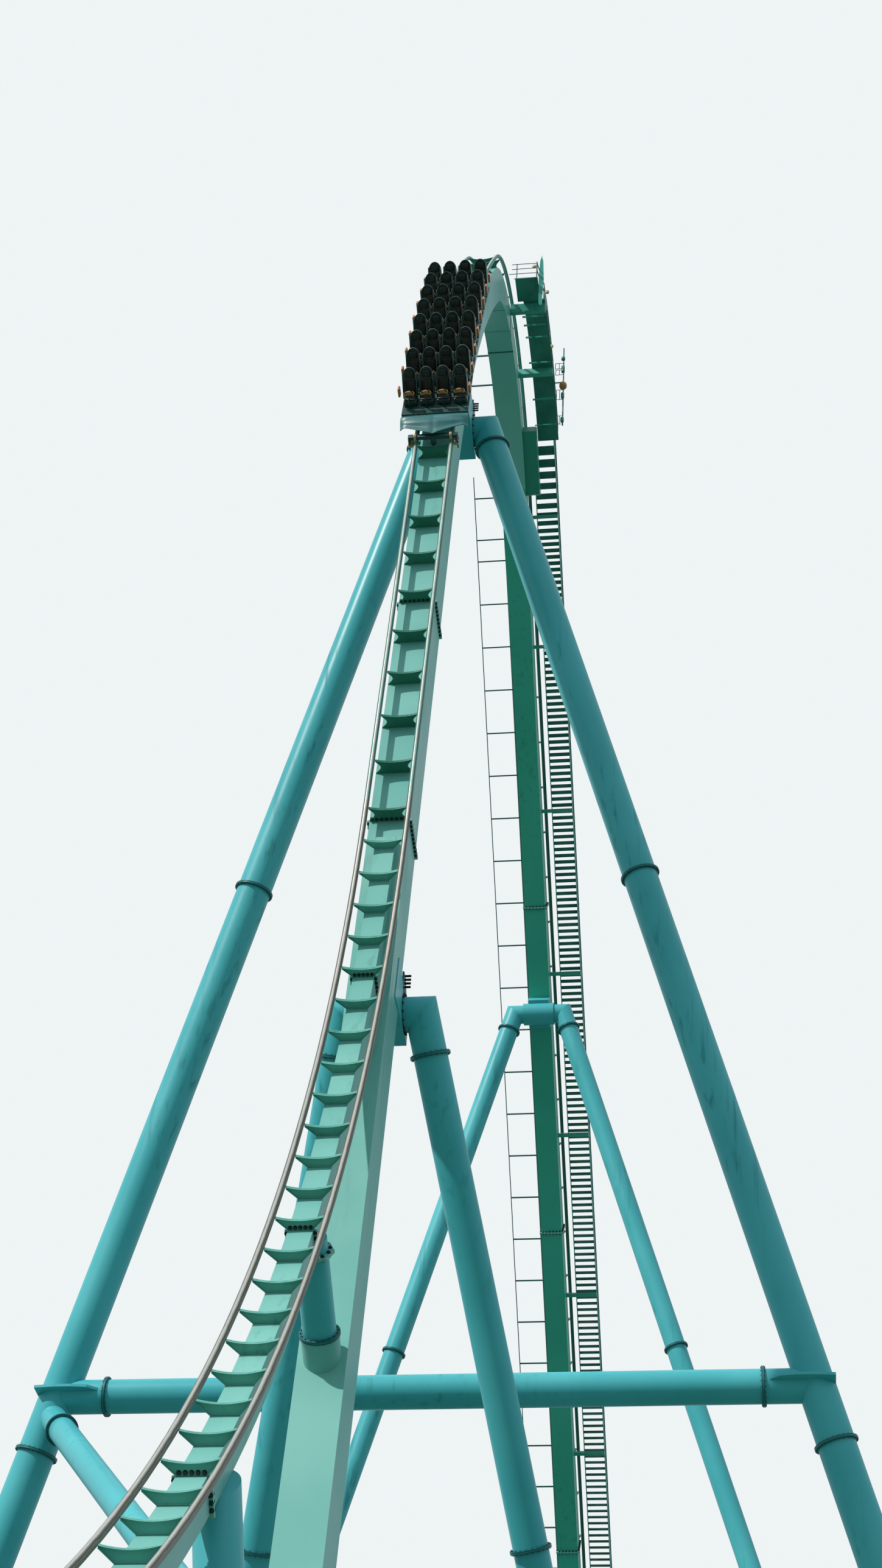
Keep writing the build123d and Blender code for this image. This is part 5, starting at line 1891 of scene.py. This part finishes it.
@dataclass
class Seams:
    """Weld lines and bands on the crest's box, and the ribs and edge under its deck."""
    sink: float = 0.4
    thin_edge: float = 0.4
    weld: Point = (2.0, 1.0)
    weld_places: tuple[float, ...] = (387.0, 640.0)
    splice: Point = (3.0, 3.0)
    splice_edge: float = 0.6
    splice_past: float = 1.5
    splice_place: float = 818.0
    rib: Point = (9.0, 1.6)
    rib_edge: float = 0.5
    rib_places: tuple[float, ...] = (599.0, 677.0, 775.0, 955.0, 1180.0, 1323.0)
    edge_place: float = 1180.0
    edge: Point = (4.0, 4.0)
    deck_under: float = 135.3
    deck_left: float = 114.0
    deck_right: float = 208.0
    arm_place: float = 684.7
    arm_half: float = 13.0
    arm_proud: float = 1.4
    arm_clear: float = 1.0

    def under(self, at: float, depth: float) -> Matrix:
        """A frame on a level under the rails, this far past the crest's start."""
        return TRACK.across(TRACK.crest + at) @ shift(0, -depth)

    def build(self) -> None:
        """Builds the bands and ribs."""
        half = WIDE.width / 2
        depth, reach = self.weld
        band = soften(box((-half, -depth, -reach), (half, self.sink, reach)), self.thin_edge)
        places = [self.under(at, WIDE.underside) for at in self.weld_places]
        keep(copies(band, places), "crest_weld_lines", FINISHES.stair, Slot.TRACK)
        depth, reach = self.splice
        wide = half + self.splice_past
        band = soften(box((-wide, -depth, -reach), (wide, self.sink, reach)), self.splice_edge)
        keep(moved(band, self.under(self.splice_place, WIDE.underside)), "crest_splice_band",
             FINISHES.dark_tube, Slot.TRACK)
        depth, reach = self.rib
        rib = soften(box((self.deck_left, -depth, -reach), (self.deck_right, 0.0, reach)), self.rib_edge)
        places = [self.under(at, self.deck_under) for at in self.rib_places]
        keep(copies(rib, places), "crest_deck_ribs", FINISHES.housing, Slot.STAIR)
        depth, end = self.edge
        edge = soften(box((self.deck_left, -depth, reach), (self.deck_right, 0.0, end)), self.rib_edge)
        # the deck's edge in the lift paint, whose greener colour is painted shade
        keep(moved(edge, self.under(self.edge_place, self.deck_under)), "crest_deck_edge", FINISHES.lift,
             Slot.STAIR)
        low, high = -WIDE.underside + self.arm_clear, -WIDE.face - self.arm_clear
        side = box((half, low, -self.arm_half), (half + self.arm_proud, high, self.arm_half))
        soften(side, self.thin_edge)
        keep(moved(side, self.under(self.arm_place, 0)), "crest_arm_bands", FINISHES.housing, Slot.TRACK)


@dataclass
class Footings:
    """The anchor bolts on the base plates, and the bolted plate at the strut's head."""
    plate_top: float = 8.0
    anchor_out: float = 21.0
    anchors: int = 8
    anchor_turn: float = 0.5
    bolt: float = 11.0
    strut_plate: float = 52.0
    strut_thickness: float = 7.0
    strut_sides: int = 8
    strut_edge: Edge = (1.2, 2)
    strut_along: float = 34.0
    strut_bolt: float = 6.5
    strut_bolts: int = 12
    strut_margin: float = 10.0

    def build(self) -> None:
        """Builds the bolts and the plate."""
        *runs, strut = Flanges().pipes()
        anchors = []
        for pipe in runs:
            if pipe.end[2] == 0.0:
                for x, y in circle(pipe.diameter / 2 + self.anchor_out, self.anchors, self.anchor_turn):
                    anchors.append(shift(pipe.end[0] + x, pipe.end[1] + y, self.plate_top))
        keep(copies(BOLTS.head(self.bolt), anchors), "anchor_bolts", FINISHES.bolt, Slot.BASE)
        here = strut.frame(self.strut_along / run_between(strut.start, strut.end))
        flange = drum(self.strut_plate, self.strut_thickness, self.strut_sides)
        soften(flange, *self.strut_edge)
        keep(moved(flange, here), "strut_head_plate", FINISHES.track, Slot.SUPPORT)
        bolts = BOLTS.ring(here, self.strut_plate - self.strut_margin, self.strut_bolts,
                           self.strut_thickness / 2)
        keep(copies(BOLTS.head(self.strut_bolt), bolts), "strut_head_bolts", FINISHES.bolt, Slot.SUPPORT)


# Studio


@dataclass
class Studio:
    """The camera at the photograph's viewing angle, the floor and the plain light."""
    place: Place = (970.2, -4463.0, 167.0)
    pitch: float = 0.70996
    roll: float = 0.05878
    turn: float = 0.15872
    lens: float = 57.30
    sensor: float = 36.0
    clip: Point = (0.01, 500.0)
    sun_from: Place = (-0.5, -0.52, 0.7)
    sun_strength: float = 2.9
    sun_angle: float = 1.2
    sun_colour: Place = (1.0, 0.97, 0.92)
    ground_glow: Place = (0.09, 0.16, 0.14)
    sky_glow: Place = (0.5, 0.62, 0.68)
    glow_levels: Point = (-0.15, 0.5)
    backdrop: Place = (0.86, 0.9, 0.91)
    reflected: Place = (0.62, 0.72, 0.76)
    floor_size: float = 90.0
    floor_seen: Place = (0.72, 0.74, 0.74)
    floor_bounce: Place = (0.1, 0.18, 0.15)
    floor_roughness: float = 0.9

    def camera(self) -> None:
        """Sets the camera up."""
        th, rho, psi = self.pitch, self.roll, self.turn
        ahead = Vector((-math.sin(psi) * math.cos(th), math.cos(psi) * math.cos(th), math.sin(th)))
        right = Vector((math.cos(psi), math.sin(psi), 0))
        up = Vector((math.sin(psi) * math.sin(th), -math.cos(psi) * math.sin(th), math.cos(th)))
        x = right * math.cos(rho) + up * math.sin(rho)
        y = -right * math.sin(rho) + up * math.cos(rho)
        data = bpy.data.cameras.new("camera")
        data.sensor_fit, data.sensor_height, data.lens = "VERTICAL", self.sensor, self.lens
        data.clip_start, data.clip_end = self.clip
        camera = bpy.data.objects.new("camera", data)
        bpy.context.scene.collection.objects.link(camera)
        matrix = Matrix((x, y, -ahead)).transposed().to_4x4()
        matrix.translation = Vector(self.place) * MM
        camera.matrix_world = matrix
        bpy.context.scene.camera = camera

    def lamps(self) -> None:
        """Adds the sun and the world's light."""
        data = bpy.data.lights.new("sun", "SUN")
        data.energy, data.color = self.sun_strength, self.sun_colour
        data.angle = math.radians(self.sun_angle)
        sun = bpy.data.objects.new("sun", data)
        bpy.context.scene.collection.objects.link(sun)
        sun.rotation_euler = Vector(self.sun_from).to_track_quat("Z", "Y").to_euler()
        world = bpy.data.worlds.new("studio")
        bpy.context.scene.world = world
        world.use_nodes = True
        shade = Shade(world.node_tree)
        up = shade.add("SeparateXYZ", {"Vector": shade.add("TexCoord").outputs["Generated"]}).outputs["Z"]
        glow = shade.mix(shade.step(up, self.glow_levels), rgba(self.ground_glow), rgba(self.sky_glow))
        path = shade.add("LightPath").outputs
        seen = shade.math("MAXIMUM", path["Is Camera Ray"], path["Is Glossy Ray"])
        seen = shade.math("MAXIMUM", seen, path["Is Transmission Ray"])
        pale = shade.mix(path["Is Camera Ray"], rgba(self.reflected), rgba(self.backdrop))
        shade.join(world.node_tree.nodes["Background"], {"Color": shade.mix(seen, glow, pale)})

    def floor(self) -> None:
        """Lays the plain pale floor."""
        clear_selection()
        bpy.ops.mesh.primitive_plane_add(size=self.floor_size)
        floor = bpy.context.object
        floor.name = "floor"
        material, shade, shader, _ = start_material("floor_pale")
        seen = shade.add("LightPath").outputs["Is Camera Ray"]
        tint = shade.mix(seen, rgba(self.floor_bounce), rgba(self.floor_seen))
        shade.join(shader, {"Base Color": tint, "Roughness": self.floor_roughness})
        floor.data.materials.append(material)

    def build(self) -> None:
        """Sets up the camera, the light and the floor."""
        bpy.context.scene.view_settings.view_transform = "Standard"
        self.camera()
        self.lamps()
        self.floor()


def main() -> None:
    """Sets up the studio and dresses the frame piece by piece."""
    logging.basicConfig(level=logging.INFO, format="%(message)s")
    for part in (Studio(), CarriedParts(), CrossTies(), Flanges(), LegHeads(), Splices(), Seats(),
                 TrainNose(), Wheels(), CrestDetails(), Seams(), Footings()):
        LOG.info("building %s", type(part).__name__)
        part.build()


if __name__ == "__main__":
    main()
